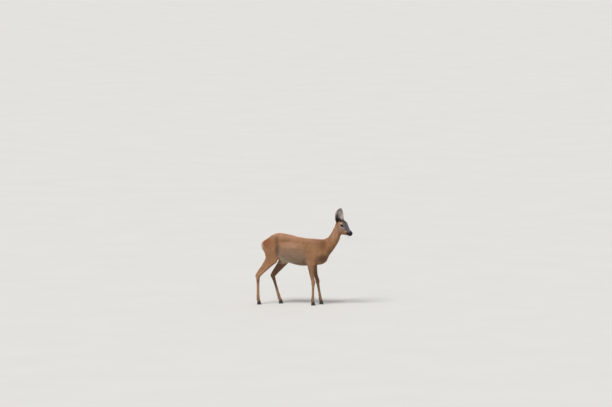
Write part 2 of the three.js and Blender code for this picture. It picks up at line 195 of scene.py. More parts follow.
def new_mesh(name, points, faces):
    """A smooth mesh from points and equal-sided faces."""
    mesh = bpy.data.meshes.new(name)
    mesh.vertices.add(len(points))
    mesh.vertices.foreach_set("co", np.ascontiguousarray(points, np.float32).ravel())
    sides = faces.shape[1]
    mesh.loops.add(faces.size)
    mesh.loops.foreach_set("vertex_index", np.ascontiguousarray(faces, np.int32).ravel())
    mesh.polygons.add(len(faces))
    mesh.polygons.foreach_set("loop_start", np.arange(0, faces.size, sides, dtype=np.int32))
    mesh.polygons.foreach_set("loop_total", np.full(len(faces), sides, np.int32))
    mesh.polygons.foreach_set("use_smooth", np.ones(len(faces), bool))
    mesh.update(calc_edges=True)
    return mesh


def new_object(name, mesh):
    """An object in the scene that shows a mesh."""
    made = bpy.data.objects.new(name, mesh)
    bpy.context.scene.collection.objects.link(made)
    return made


def give(mesh, label, values):
    """Stores a number for each point of a mesh, for its material to read."""
    attribute = mesh.attributes.new(label, "FLOAT", "POINT")
    attribute.data.foreach_set("value", np.ascontiguousarray(values, np.float32).ravel())


def mesh_points(mesh):
    """A mesh's points as an array."""
    points = np.empty(len(mesh.vertices) * 3, np.float32)
    mesh.vertices.foreach_get("co", points)
    return points.reshape(-1, 3).astype(float)


def mesh_triangles(mesh):
    """The three points of each of a mesh's triangles."""
    mesh.calc_loop_triangles()
    corners = np.empty(len(mesh.loop_triangles) * 3, np.int32)
    mesh.loop_triangles.foreach_get("vertices", corners)
    return corners.reshape(-1, 3)


def mesh_edges(triangles):
    """The two points of each edge between triangles, each edge once."""
    pairs = np.concatenate([triangles[:, [0, 1]], triangles[:, [1, 2]], triangles[:, [2, 0]]])
    return np.unique(np.sort(pairs, axis=1), axis=0)


def point_normals(points, triangles):
    """Which way a surface faces at each of its points."""
    a, b, c = (points[triangles[:, corner]] for corner in range(3))
    across = np.cross(b - a, c - a)
    total = np.zeros_like(points)
    for corner in range(3):
        for axis in range(3):
            total[:, axis] += np.bincount(triangles[:, corner], across[:, axis], len(points))
    return unit(total)


def neighbour_mean(values, edges):
    """The mean of each point's neighbours."""
    count = np.bincount(edges.ravel(), minlength=len(values)).astype(float)
    count = np.maximum(count, 1)
    columns = values.reshape(len(values), -1)
    mean = np.empty_like(columns)
    for column in range(columns.shape[1]):
        one = columns[:, column]
        total = np.bincount(edges[:, 0], one[edges[:, 1]], len(values))
        total += np.bincount(edges[:, 1], one[edges[:, 0]], len(values))
        mean[:, column] = total / count
    return mean.reshape(values.shape)


def relax(points, edges, rounds, share):
    """Evens out a surface without shrinking it: each round smooths, then swells back a little more."""
    for _ in range(rounds):
        points = points + share * 0.55 * (neighbour_mean(points, edges) - points)
        points = points - share * 0.575 * (neighbour_mean(points, edges) - points)
    return points


def melt(points, triangles, edges, rounds, share):
    """Melts facets into one round form, then swells it back by what it shrank, evenly."""
    smooth = points
    for _ in range(rounds):
        smooth = smooth + share * 0.6 * (neighbour_mean(smooth, edges) - smooth)
    normals = point_normals(smooth, triangles)
    lost = ((points - smooth) * normals).sum(axis=1)
    return smooth + normals * blur(lost, edges, rounds // 2)[:, None]


def blur(values, edges, rounds):
    """Softens values on a surface by taking them towards their neighbours' mean."""
    for _ in range(rounds):
        values = 0.5 * values + 0.5 * neighbour_mean(values, edges)
    return values


def whole_copy(nodes, grow):
    """Some CAD nodes' meshes as one, their loose triangles joined, each grown by what grow says for it."""
    joined = bmesh.new()
    for node in nodes:
        single = bmesh.new()
        single.from_mesh(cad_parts[node].data)
        bmesh.ops.remove_doubles(single, verts=single.verts, dist=0.01 * MM)
        single.normal_update()
        for vertex in single.verts:
            vertex.co += vertex.normal * grow(node)
        part = bpy.data.meshes.new("part")
        single.to_mesh(part)
        single.free()
        joined.from_mesh(part)
        bpy.data.meshes.remove(part)
    mesh = bpy.data.meshes.new("whole")
    joined.to_mesh(mesh)
    joined.free()
    return mesh


def with_modifier(mesh, kind, group=None, **settings):
    """A mesh with one modifier worked into it; group is a weight for each of its points."""
    holder = new_object("holder", mesh)
    if group is not None:
        weights = holder.vertex_groups.new(name="group")
        for level in np.unique(group):
            weights.add(np.nonzero(group == level)[0].tolist(), float(level), "REPLACE")
        settings["vertex_group"] = "group"
    modifier = holder.modifiers.new(kind.lower(), kind)
    for key, value in settings.items():
        setattr(modifier, key, value)
    evaluated = holder.evaluated_get(bpy.context.evaluated_depsgraph_get())
    made = bpy.data.meshes.new_from_object(evaluated)
    bpy.data.objects.remove(holder)
    return made


def biggest_body(points, triangles):
    """Drops any bubble that a remesh leaves inside the one big body."""
    edges = mesh_edges(triangles)
    label = np.arange(len(points))
    while True:
        before = label.copy()
        low = np.minimum(label[edges[:, 0]], label[edges[:, 1]])
        np.minimum.at(label, edges[:, 0], low)
        np.minimum.at(label, edges[:, 1], low)
        label = label[label]
        if (label == before).all():
            break
    names, counts = np.unique(label, return_counts=True)
    kept = label == names[counts.argmax()]
    renumber = np.cumsum(kept) - 1
    triangles = triangles[kept[triangles[:, 0]]]
    return points[kept], renumber[triangles]


def remeshed(nodes, voxel, grow=lambda node: 0):
    """Some CAD nodes as one closed surface of small even faces: its points, triangles and edges."""
    whole = with_modifier(whole_copy(nodes, grow), "REMESH", mode="VOXEL", voxel_size=voxel)
    points, triangles = biggest_body(mesh_points(whole), mesh_triangles(whole))
    return points, triangles, mesh_edges(triangles)


# ---- The skin -------------------------------------------------------------------------------------------

VOXEL = 2.4 * MM
MELT_ROUNDS = 130  # rounds of smoothing that take the facets out of the body
SKIN_TRIANGLES = 156000
SEAM_GROWTH = 0.5 * MM  # closes the thin cuts between the nodes
EAR_GROWTH = 2.2 * MM  # carries an ear's thin rim through the remesh as well
HEAD_MIDDLE = (20, 0, -10)  # in its own frame


def nodes_tree(nodes):
    """A search tree over CAD nodes, with the node that each of its faces is from."""
    points, faces, owner = [], [], []
    start = 0
    for index, node in enumerate(nodes):
        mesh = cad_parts[node].data
        own_points, own_faces = mesh_points(mesh), mesh_triangles(mesh)
        points.append(own_points)
        faces.append(own_faces + start)
        owner.append(np.full(len(own_faces), index))
        start += len(own_points)
    points, faces = np.concatenate(points), np.concatenate(faces)
    tree = BVHTree.FromPolygons(points.tolist(), faces.tolist())
    return tree, np.concatenate(owner)


def nearest_node(points, nodes):
    """For each point the index of the nearest CAD node."""
    tree, owner = nodes_tree(nodes)
    return owner[np.array([tree.find_nearest(point)[2] for point in points.tolist()])]


def seam_growth(node):
    """How much a node grows before the nodes are made one."""
    return EAR_GROWTH if node.startswith("ear") else SEAM_GROWTH


def first_skin():
    """The flesh and the eyeballs as one closed surface with no cuts, smooth, and fine over the head."""
    points, triangles, edges = remeshed(FLESH + ("eye_left", "eye_right"), VOXEL, seam_growth)
    head, body = in_head(points), in_body(points)
    near_head = fade(np.linalg.norm(head - HEAD_MIDDLE, axis=1), 190, 90)
    near_ears = fade(head[:, 2], 34, 50)
    ears = near_ears * (near_head > 0)
    legs = fade(body[:, 2], 400, 300)
    # The remesh leaves small steps, which are smoothed less where the forms are small.
    points = relax(points, edges, 12, (1 - 0.5 * near_head - 0.3 * ears - 0.4 * legs)[:, None])
    # The facets are melted on the body, half on the neck, hardly on the head and not on the legs.
    share = 1 - fade(body[:, 2], 450, 330)
    share *= 1 - 0.55 * fade(body[:, 0], 230, 330)
    throat = fade(head[:, 2], -62, -84) * fade(head[:, 0], 30, 0)
    share *= 1 - 0.9 * fade(near_head, 0.1, 0.5) * (1 - throat)
    melted = melt(points, triangles, edges, MELT_ROUNDS, share[:, None])
    points = points + (melted - points) * (1 - ears)[:, None]
    coarse = (near_head < 0.5) & (near_ears < 0.5)
    mesh = new_mesh("smooth", points, triangles)
    settings = {"ratio": SKIN_TRIANGLES / len(triangles), "use_collapse_triangulate": True}
    return with_modifier(mesh, "DECIMATE", group=coarse.astype(float), **settings)


# Soft rises and hollows of the body: the place (how far ahead, out from the middle, and up), the reach each
# way, and how high the middle stands, all in millimetres. Both sides of the doe have them.
BODY_FORMS = {
    "flank hollow": ((-136, 88, 640), (46, 60, 22), -9),
    "border of the thigh": ((-208, 90, 606), (18, 60, 76), -9),
    "thigh": ((-246, 90, 570), (22, 60, 90), 4),
    "back of the thigh": ((-280, 84, 548), (10, 50, 46), -3.5),
    "point of the hip": ((-222, 70, 682), (24, 40, 20), 5),
    "seat bone": ((-352, 40, 600), (20, 30, 24), 4),
    "hollow before the shoulder": ((246, 60, 615), (20, 60, 38), -10),
    "shoulder blade": ((172, 72, 575), (26, 50, 66), 5),
    "behind the shoulder": ((92, 92, 560), (20, 60, 80), -5),
    "shoulder ridge": ((207, 76, 530), (11, 40, 44), 4),
    "breast hollow": ((240, 66, 474), (22, 40, 15), -9),
    "under the shoulder": ((176, 84, 452), (26, 40, 10), -4),
    "upper arm": ((150, 84, 470), (34, 50, 26), 4),
    "elbow": ((100, 74, 436), (20, 40, 28), 6),
    "behind the elbow": ((60, 84, 448), (10, 50, 32), -6),
    "flank fold": ((-186, 80, 488), (16, 50, 16), 7),
    "under the flank fold": ((-196, 76, 446), (30, 50, 14), -6),
    "spine hollow": ((-40, 24, 700), (160, 9, 20), -2),
    "windpipe groove": ((352, 44, 636), (22, 40, 60), -5),
    "crest groove": ((300, 52, 640), (24, 40, 40), -4),
    "neck muscle": ((318, 62, 590), (28, 40, 50), 4),
}
# The same in the head's frame, from the eyes' level and the middle line.
HEAD_FORMS = {
    "brow": ((4, 39, 19), (22, 12, 6), 2.6),
    "tear pit": ((27, 34, -8), (11, 14, 6), -2.6),
    "cheek bone": ((22, 40, -21), (34, 14, 5), 2.2),
    "under the cheek bone": ((44, 28, -38), (22, 14, 9), -2.6),
    "jaw muscle": ((-16, 42, -46), (24, 16, 22), 2.4),
    "temple": ((-30, 38, 14), (13, 16, 9), -2.4),
    "nose side": ((66, 20, -32), (26, 12, 9), -1.6),
    "upper lip": ((96, 18, -57), (14, 12, 6), 1.6),
    "lower lip": ((96, 14, -69), (14, 12, 5), 1.2),
    "forehead dip": ((24, 0, 30), (22, 9, 14), -1.6),
    "behind the jaw": ((-54, 34, -52), (12, 16, 26), -2.4),
}
MOUTH_CORNER, MOUTH_LEVEL, MOUTH_DEPTH = 60, -60, 2.2
CANNON_GROOVE, HEEL_HOLLOW = 1.5 * MM, 3.6 * MM
COAT_DEPTH = {"trunk": 7.5, "neck": 8.0, "tail": 11.0, "head": 2.4, "lower_jaw": 1.4, "ear": 1.6, "leg": 5.0}
LOWER_LEG_DEPTH, MUZZLE_DEPTH = 1.7, 0.8
CORONET = 31  # how high the hair ends over a hoof

EYE_BALL = 13.9 * MM
LID = 15.3 * MM  # how far the lids' outside lies from the eye's middle
LID_REACH = 24 * MM  # and how far from it they are shaped
LID_DROP = 2.5 * MM  # how far behind the eyeball's face the skin inside the opening lies
# The rim of the lids and the crease round it: how far off the opening, how broad and how high or deep, in
# millimetres.
RIM, CREASE = (1.4, 1.1, 0.5), (5.2, 1.3, 0.9)
EYE_LONG, EYE_HIGH = 13.8 * MM, 8.8 * MM  # half the opening between the lids
EYE_SLANT = math.radians(-13)


def eye_frame(side):
    """The eye's middle, and which way its gaze, its front corner and its upper lid lie."""
    centre = np.array(middle_of("eye_left" if side > 0 else "eye_right"))
    gaze = HEAD_AXES @ unit((0.30, side * 0.945, 0.12))
    ahead = HEAD_AXES @ np.array([1.0, 0, 0])
    ahead = unit(ahead - gaze * (ahead @ gaze))
    up = np.cross(gaze, ahead) * -side
    along = ahead * math.cos(EYE_SLANT) + up * math.sin(EYE_SLANT)
    high = up * math.cos(EYE_SLANT) - ahead * math.sin(EYE_SLANT)
    return centre, gaze, along, high


def lid_place(points, side):
    """Where points lie by one eye: off and out from its middle, along it, up it, and off its opening."""
    centre, gaze, along, high = eye_frame(side)
    offset = points - centre
    out = offset @ gaze
    a, b = offset @ along, offset @ high
    edge = (np.abs(b) / EYE_HIGH + (a / EYE_LONG) ** 2 - 1) * EYE_HIGH
    return offset, out, a, b, edge


def off_eyes(points):
    """How far points are from the nearer eye's middle."""
    return np.min([np.linalg.norm(points - eye_frame(side)[0], axis=1) for side in (-1, 1)], axis=0)


def off_lids(points):
    """How far points by an eye lie outside the opening between its lids. Elsewhere it is a metre."""
    off = np.ones(len(points))
    for side in (-1, 1):
        offset, out, _, _, edge = lid_place(points, side)
        near = (out > 0) & (np.linalg.norm(offset, axis=1) < LID_REACH)
        off = np.where(near, edge, off)
    return off


def ridge(edge, off, breadth, height):
    """A ridge that follows the opening between the lids, by how far points lie outside it."""
    return np.exp(-((edge - off * MM) / (breadth * MM)) ** 2) * height * MM


def make_lids(points):
    """Opens an almond between the lids: skin inside it drops behind the eyeball, with a rim round it."""
    for side in (-1, 1):
        offset, out, _, b, edge = lid_place(points, side)
        far = np.linalg.norm(offset, axis=1)
        near = (out > 0) & (far < LID_REACH)
        lid = LID + ridge(edge, *RIM) - ridge(edge, *CREASE) * np.where(b > 0, 1.0, 0.6)
        wanted = far + (lid - far) * fade(far, 21 * MM, 17 * MM)
        opened = fade(edge, 0.15 * MM, -0.85 * MM)
        wanted = wanted + (EYE_BALL - LID_DROP - wanted) * opened
        points = np.where(near[:, None], points + unit(offset) * (wanted - far)[:, None], points)
    return points


def raise_forms(points, normals, places, forms):
    """Swells or hollows a surface at each of the forms, along its normals."""
    total = np.zeros(len(points))
    for centre, reach, height in forms.values():
        far = ((places - np.array(centre)) / np.array(reach)) ** 2
        total += height * MM * np.exp(-far.sum(axis=1))
    return points + normals * total[:, None]


def bone_place(places, upper, lower):
    """Where places lie by a bone between two joints: along it as a share of its length, and behind it."""
    down = unit(lower - upper)
    back = unit((down[2], 0, -down[0]))
    return (places - upper) @ down / np.linalg.norm(lower - upper), (places - upper) @ back


def leg_forms(points, normals):
    """The groove between each cannon bone and its tendon, and the hollow before each heel tendon."""
    places = in_body(points)
    total = np.zeros(len(points))
    for leg, joints in JOINTS.items():
        _, elbow, knee, fetlock, _ = joints
        own = (np.sign(places[:, 1]) == math.copysign(1, joints[0][1])) & (places[:, 2] < 470)
        along, behind = bone_place(places, knee, fetlock)
        groove = np.exp(-((behind - 4.5) / 2.6) ** 2) * fade(along, 0.1, 0.25) * fade(along, 0.95, 0.8)
        total -= CANNON_GROOVE * groove * own
        if leg.startswith("hind"):
            along, behind = bone_place(places, elbow, knee)
            hollow = np.exp(-((behind - 20) / 7) ** 2) * fade(along, 0.55, 0.72) * fade(along, 0.99, 0.9)
            total -= HEEL_HOLLOW * hollow * own
    return points + normals * total[:, None]


def mouth_line(points, normals):
    """A crease between the lips, deepest under the nose and gone at the corner of the mouth."""
    ahead, _, up = in_head(points).T
    level = MOUTH_LEVEL - 0.05 * (ahead - MOUTH_CORNER)
    crease = np.exp(-((up - level) / 1.5) ** 2) * fade(ahead, MOUTH_CORNER - 4, MOUTH_CORNER + 8)
    return points - normals * (crease * MOUTH_DEPTH * MM)[:, None]


def coat_depth(points, edges):
    """How deep the coat is over each point of the skin, in metres, and which node of flesh it is on."""
    owner = nearest_node(points, FLESH)
    on_leg, on_face = KINDS[owner] == "leg", np.isin(KINDS[owner], FACE)
    height, ahead = in_body(points)[:, 2], in_head(points)[:, 0]
    depth = np.array([COAT_DEPTH[kind] for kind in KINDS])[owner]
    depth = np.where(on_leg, depth + (LOWER_LEG_DEPTH - depth) * fade(height, 400, 230), depth)
    depth = np.where(on_leg, depth * fade(height, CORONET - 4, CORONET + 16), depth)
    depth = np.where(on_face, depth + (MUZZLE_DEPTH - depth) * fade(ahead, 40, 95), depth)
    depth = blur(depth, edges, 10) * fade(off_eyes(points), 16 * MM, 24 * MM)
    return depth * MM, owner


def ear_inset(points, triangles, normals, edges, owner):
    """How far in the ears' skin goes: what they were grown by and their coat, but never through a wall."""
    tree = BVHTree.FromPolygons(points.tolist(), triangles.tolist())
    on_ear = KINDS[owner] == "ear"
    wanted = EAR_GROWTH + COAT_DEPTH["ear"] * MM
    inset = np.zeros(len(points))
    for index in np.nonzero(on_ear)[0]:
        way = Vector(-normals[index])
        wall = tree.ray_cast(Vector(points[index]) + way * 0.1 * MM, way, 4 * wanted)[3]
        inset[index] = wanted if wall is None else min(wanted, 0.4 * wall)
    return np.where(on_ear, blur(inset, edges, 2), 0), on_ear


def finer(mesh, centre, reach):
    """Cuts the faces near one place into smaller ones."""
    work = bmesh.new()
    work.from_mesh(mesh)
    centre = Vector(centre)
    near = [face for face in work.faces if (face.calc_center_median() - centre).length < reach]
    chosen = {edge for face in near for edge in face.edges}
    bmesh.ops.subdivide_edges(work, edges=list(chosen), cuts=1, use_grid_fill=True)
    bmesh.ops.triangulate(work, faces=[face for face in work.faces if len(face.verts) > 3])
    work.to_mesh(mesh)
    work.free()


def make_skin():
    """The bare skin under the coat, with its lids, its mouth and the relief of its muscles."""
    mesh = first_skin()
    # Twice over by the eyes, for clean edges of the lids, and once at the lips.
    for side in (-1, 1):
        centre, gaze, *_ = eye_frame(side)
        for reach in (25, 19):
            finer(mesh, centre + gaze * 10 * MM, reach * MM)
    finer(mesh, on_head((98, 0, -60)), 36 * MM)
    points, triangles = mesh_points(mesh), mesh_triangles(mesh)
    edges = mesh_edges(triangles)
    depth, owner = coat_depth(points, edges)
    normals = point_normals(points, triangles)
    inset, on_ear = ear_inset(points, triangles, normals, edges, owner)
    points = points - normals * np.where(on_ear, inset, depth)[:, None]
    points = leg_forms(points, point_normals(points, triangles))
    head, body = both_sides(points)
    normals = blur(point_normals(points, triangles), edges, 4)
    points = raise_forms(points, normals, body, BODY_FORMS)
    points = raise_forms(points, normals, head, HEAD_FORMS)
    points = mouth_line(points, normals)
    points = relax(points, edges, 2, 0.6)
    return make_lids(points), triangles, edges, depth, owner


# ---- The lie, the length and the markings of the coat ---------------------------------------------------

NOSE_TIP = (118, 0, -50)
TRUNK_LIE = {  # which way the hair lies on the trunk at places along it, ahead to behind
    300: (-0.45, 0, -0.9),
    190: (-0.65, 0, -0.75),
    80: (-0.92, 0, -0.4),
    -180: (-0.95, 0, -0.32),
    -300: (-0.7, 0, -0.7),
    -370: (-0.25, 0, -0.97),
}
NECK_LIE = (-0.6, 0, -0.8)
TAIL_LIE = (-0.35, 0, -0.94)


def ear_place(points, ear):
    """Where points lie by an ear: along it as a share of its length, and across it and out of its cup."""
    pose = EARS[ear]
    along = unit(pose["axis"])
    across = unit(np.cross(pose["facing"], along))
    open_way = np.cross(along, across)
    offset = (points - on_head(EAR_ROOT * np.array([1, pose["side"], 1]))) / MM
    return offset @ along / EAR_LENGTH, offset @ across, offset @ open_way, along, open_way


def along_surface(ways, normals):
    """Directions turned to lie in a surface, one long."""
    return unit(ways - normals * (ways * normals).sum(axis=1)[:, None])


def coat_lie(points, normals, edges, owner):
    """The way the hair lies over every point of the skin, along its surface."""
    head, body = in_head(points), in_body(points)
    lie = np.zeros_like(points)
    places = np.array(sorted(TRUNK_LIE))
    ways = np.array([TRUNK_LIE[place] for place in places])
    trunk = np.stack([np.interp(body[:, 0], places, ways[:, axis]) for axis in range(3)], axis=1)
    for index, node in enumerate(FLESH):
        own = owner == index
        if node in FACE:
            lie[own] = unit(head[own] - NOSE_TIP) @ HEAD_AXES.T
        elif node.startswith("ear"):
            lie[own] = ear_place(points[own], node)[3]
        elif node == "neck":
            lie[own] = NECK_LIE
        elif node == "tail":
            lie[own] = TAIL_LIE
        elif node == "trunk":
            lie[own] = trunk[own]
        else:
            joints = JOINTS[node[4:]]
            ways = unit(joints[1:] - joints[:-1])
            heights = (joints[1:, 2] + joints[:-1, 2]) / 2
            order = np.argsort(heights)
            for axis in range(3):
                lie[own, axis] = np.interp(body[own, 2], heights[order], ways[order, axis])
            lie[own, 0] -= 0.25
    for _ in range(14):
        lie = along_surface(blur(lie, edges, 3), normals)
    return lie


# Painted shade in the hollows and folds of the body and painted highlights on its ridges, with the cream
# of the groin: the place and the reach on the body, and how much of the tone it has, on both sides of the
# doe.
BODY_SPOTS = {
    # painted shade in the hollows, the grooves and the folds, and under the body
    "dark": [
        ((-216, 90, 656), (23, 80, 46), 0.44),  # groove ahead of the thigh, high up
        ((-206, 90, 568), (24, 80, 56), 0.5),  # the same, lower down
        ((-278, 84, 548), (8, 60, 40), 0.14),  # back of the thigh
        ((-136, 80, 645), (38, 60, 10), 0.2),  # flank hollow
        ((244, 60, 618), (26, 90, 38), 0.3),  # ahead of the shoulder blade
        ((238, 60, 480), (54, 90, 40), 0.56),  # breast
        ((236, 60, 478), (30, 90, 18), 0.6),  # fold across the breast
        ((190, 80, 458), (34, 60, 11), 0.34),  # under the shoulder
        ((308, 20, 552), (24, 60, 36), 0.42),  # foot of the neck, in front
        ((196, 40, 664), (48, 60, 22), 0.14),  # ahead of the withers
        ((60, 80, 452), (9, 60, 30), 0.3),  # behind the elbow
        ((-200, 60, 446), (15, 60, 15), 0.7),  # under the flank fold
        ((232, 20, 446), (44, 60, 40), 0.22),  # between the fore legs
    ],
    # painted highlights on the ridges of the muscles and bones, and on the nape
    "painted_highlight": [
        ((-80, 80, 604), (100, 60, 30), 0.75),  # ribs
        ((-312, 70, 394), (34, 60, 24), 0.3),  # shank
        ((-366, 70, 336), (34, 60, 24), 0.3),  # above the hock
        ((-172, 80, 676), (32, 60, 10), 0.35),  # point of the hip
        ((-164, 80, 560), (22, 60, 46), 0.25),  # flank
        ((104, 80, 440), (21, 60, 30), 0.5),  # elbow
        ((207, 80, 532), (11, 60, 40), 0.3),  # point of the shoulder
        ((294, 60, 630), (15, 60, 34), 0.35),  # ridge down the neck
        ((-346, 60, 486), (15, 60, 34), 0.4),  # rear edge of the thigh
        ((140, 80, 600), (50, 60, 40), 0.2),  # shoulder blade
        ((350, 40, 748), (52, 60, 80), 0.7),  # nape
    ],
    "pale": [
        # a painted highlight along the flank fold; the groin below it is cream
        ((-186, 80, 489), (9, 60, 12), 0.6),  # flank fold
        ((-162, 50, 444), (36, 90, 40), 0.8),  # groin
    ],
}
BODY_SOFT = 0.6  # how soft the spots' edges are, as a share of their reach
# The same on the head, in its own frame; the last number of some is how soft the edge is.
HEAD_SPOTS = {
    "black": [((86, 16, -58), (24, 14, 13), 1)],  # upper lip
    "dark": [
        ((-37, 26, 36), (26, 30, 12), 1, 0.3),  # foot of the ear
        ((-60, 36, 26), (22, 24, 15), 1, 0.3),  # behind it
        ((30, 30, -5), (10, 8, 5), 0.5),  # tear pit
        ((14, 0, 38), (26, 26, 14), 0.85),  # forehead
    ],
    "ash": [
        ((20, 38, -20), (34, 20, 15), 1, 0.35),  # cheek bone
        ((2, 38, 2), (32, 16, 15), 0.7, 0.3),  # round the eye
        ((74, 20, -44), (26, 14, 12), 0.5, 0.4),  # side of the muzzle
    ],
    "rusty": [((-14, 42, -34), (34, 14, 20), 0.45)],  # cheek
    "pale": [
        ((-8, 40, 18), (13, 12, 6), 0.75),  # brow
        ((12, 40, -14), (18, 14, 4.5), 0.5),  # below the eye
        ((60, 22, -46), (9, 12, 5), 0.5),  # by the lip
    ],
}
HEAD_SOFT = 0.5
PAD, PAD_TILT = (103, -55), math.radians(24)  # where the nose leather ends: ahead, up and the tilt there


def ahead_of_pad(head):
    """How far ahead of the plane where the nose leather ends places on the head lie."""
    return (head[:, 0] - PAD[0]) * math.cos(PAD_TILT) - (head[:, 2] - PAD[1]) * math.sin(PAD_TILT)


def is_left(points):
    """Whether points are on the doe's left side."""
    return points[:, 1] > BODY_ORIGIN[1]


def inner_side(points, normals, on_leg):
    """1 on the sides of the legs that face each other."""
    return on_leg * fade(normals[:, 1] * np.where(is_left(points), 1, -1), 0.1, -0.5)


def dark_marks_and_painted_shade(points, normals, owner):
    """Dark brown round the eyes, over the hooves and at the glands; painted shade inside and under the legs,
    down the front of the neck and in the body's hollows.
    """
    head, body = both_sides(points)
    kinds, height = KINDS[owner], body[:, 2]
    on_leg = kinds == "leg"
    by_eyes = marks(head, HEAD_SPOTS["dark"], HEAD_SOFT)
    for side in (-1, 1):
        offset, out, a, b, _ = lid_place(points, side)
        near = (out > 0) & (np.linalg.norm(offset, axis=1) < 30 * MM)
        oval = np.hypot(a - 1.5 * MM, 1.95 * b) / MM
        by_eyes = np.maximum(by_eyes, 0.9 * near * fade(oval, 24, 18.5))
    glands = np.zeros(len(points))
    for leg in ("hind_right", "hind_left"):
        hock, fetlock = JOINTS[leg][2:4]
        gland = hock + (fetlock - hock) * 0.2
        gland[1] = abs(gland[1]) + 12
        own = owner == FLESH.index("leg_" + leg)
        glands = np.maximum(glands, 0.6 * spot(body, gland, (10, 9, 17)) * own)
    # painted shade on the sides of the legs that face each other, deepest on the far legs
    inner = np.where(is_left(points), np.where(body[:, 0] < 0, 0.6, 0.45), 0.2)
    inner = inner * inner_side(points, normals, on_leg)
    return most(
        by_eyes * (kinds != "ear"),
        glands,
        inner * fade(height, 120, 200) * fade(height, 420, 400),
        0.75 * fade(height, 60, 34) * on_leg,
        # painted shade under the legs, where they face down
        0.3 * fade(normals[:, 2], -0.15, -0.7) * fade(height, 120, 260) * on_leg,
        # painted shade down the front of the neck
        0.22 * fade(normals[:, 0], 0.35, 0.8) * (kinds == "neck"),
        # painted shade in the body's hollows
        marks(body, BODY_SPOTS["dark"], BODY_SOFT) * ~np.isin(kinds, FACE),
    )


def pale_marks(points, normals, owner):
    """Where the coat is cream: the chin and the lips, the rump patch and the tail, the groin, the heels."""
    head, body = both_sides(points)
    kinds = KINDS[owner]
    on_leg = kinds == "leg"
    chin = fade(head[:, 2], -71, -76) * fade(head[:, 0], 50, 62)
    ragged = 0.12 * wander(points / MM, 26, 5)
    rump = spot(body, (-384, 0, 592), (36, 62, 62), 0.25) * (1 + ragged) + ragged * 0.5
    rump = np.clip(rump, 0, 1) * spot(body, (-384, 0, 590), (44, 80, 84), 0.2)
    return most(
        most(chin, marks(head, HEAD_SPOTS["pale"], HEAD_SOFT)) * np.isin(kinds, FACE),
        rump,
        kinds == "tail",
        0.6 * fade(normals[:, 2], -0.2, -0.8) * fade(body[:, 0], 0, -120) * (kinds == "trunk"),
        0.12 * inner_side(points, normals, on_leg) * ~is_left(points),
        marks(body, BODY_SPOTS["pale"], BODY_SOFT),
        0.28 * spot(body, (-432, 58, 300), (20, 30, 44), 0.4) * on_leg,
    )


def ear_marks(points, normals, owner):
    """The parts of the ears' markings, among them how far each point is inside an ear's cup, and the painted
    shade deep in the cup.
    """
    names = ("inside", "rim", "hollow", "front_edge", "base", "tip")
    found = {name: np.zeros(len(points)) for name in names}
    on_face = np.isin(KINDS[owner], FACE)
    for ear, pose in EARS.items():
        share, across, open_place, along, open_way = ear_place(points, ear)
        rear = -pose["side"] * across
        outward = np.stack([across, open_place - 6 * fade(share, 1.1, 0.75)], axis=1)
        over = unit(np.cross(open_way, along))
        lean = (normals @ over) * outward[:, 0] + (normals @ open_way) * outward[:, 1]
        lean /= np.maximum(np.linalg.norm(outward, axis=1), 1)
        in_cup = fade(lean, 0.15, -0.25)
        # painted shade deep in the cup
        deep = spot(np.stack([rear, 60 * share], axis=1), (10, 12), (15, 13), 0.6)
        here = {
            "inside": in_cup * fade(share, 0.02, 0.12),
            "rim": fade(np.abs(lean), 0.6, 0.2) * fade(share, 0.1, 0.25) * fade(rear, 12, 28),
            "hollow": deep * in_cup,
            "front_edge": fade(rear, -22, -38),
            "base": fade(share, 0.2, 0.08),
            "tip": fade(share, 0.55, 0.8) * fade(lean, 0.2, -0.2),
        }
        own = owner == FLESH.index(ear)
        for name, values in here.items():
            found[name] = np.where(own, values, found[name])
        foot = fade(share, -0.1, -0.03) * fade(np.hypot(across, open_place - 8), 20, 13)
        found["base"] = np.maximum(found["base"], 0.9 * foot * on_face)
    return found


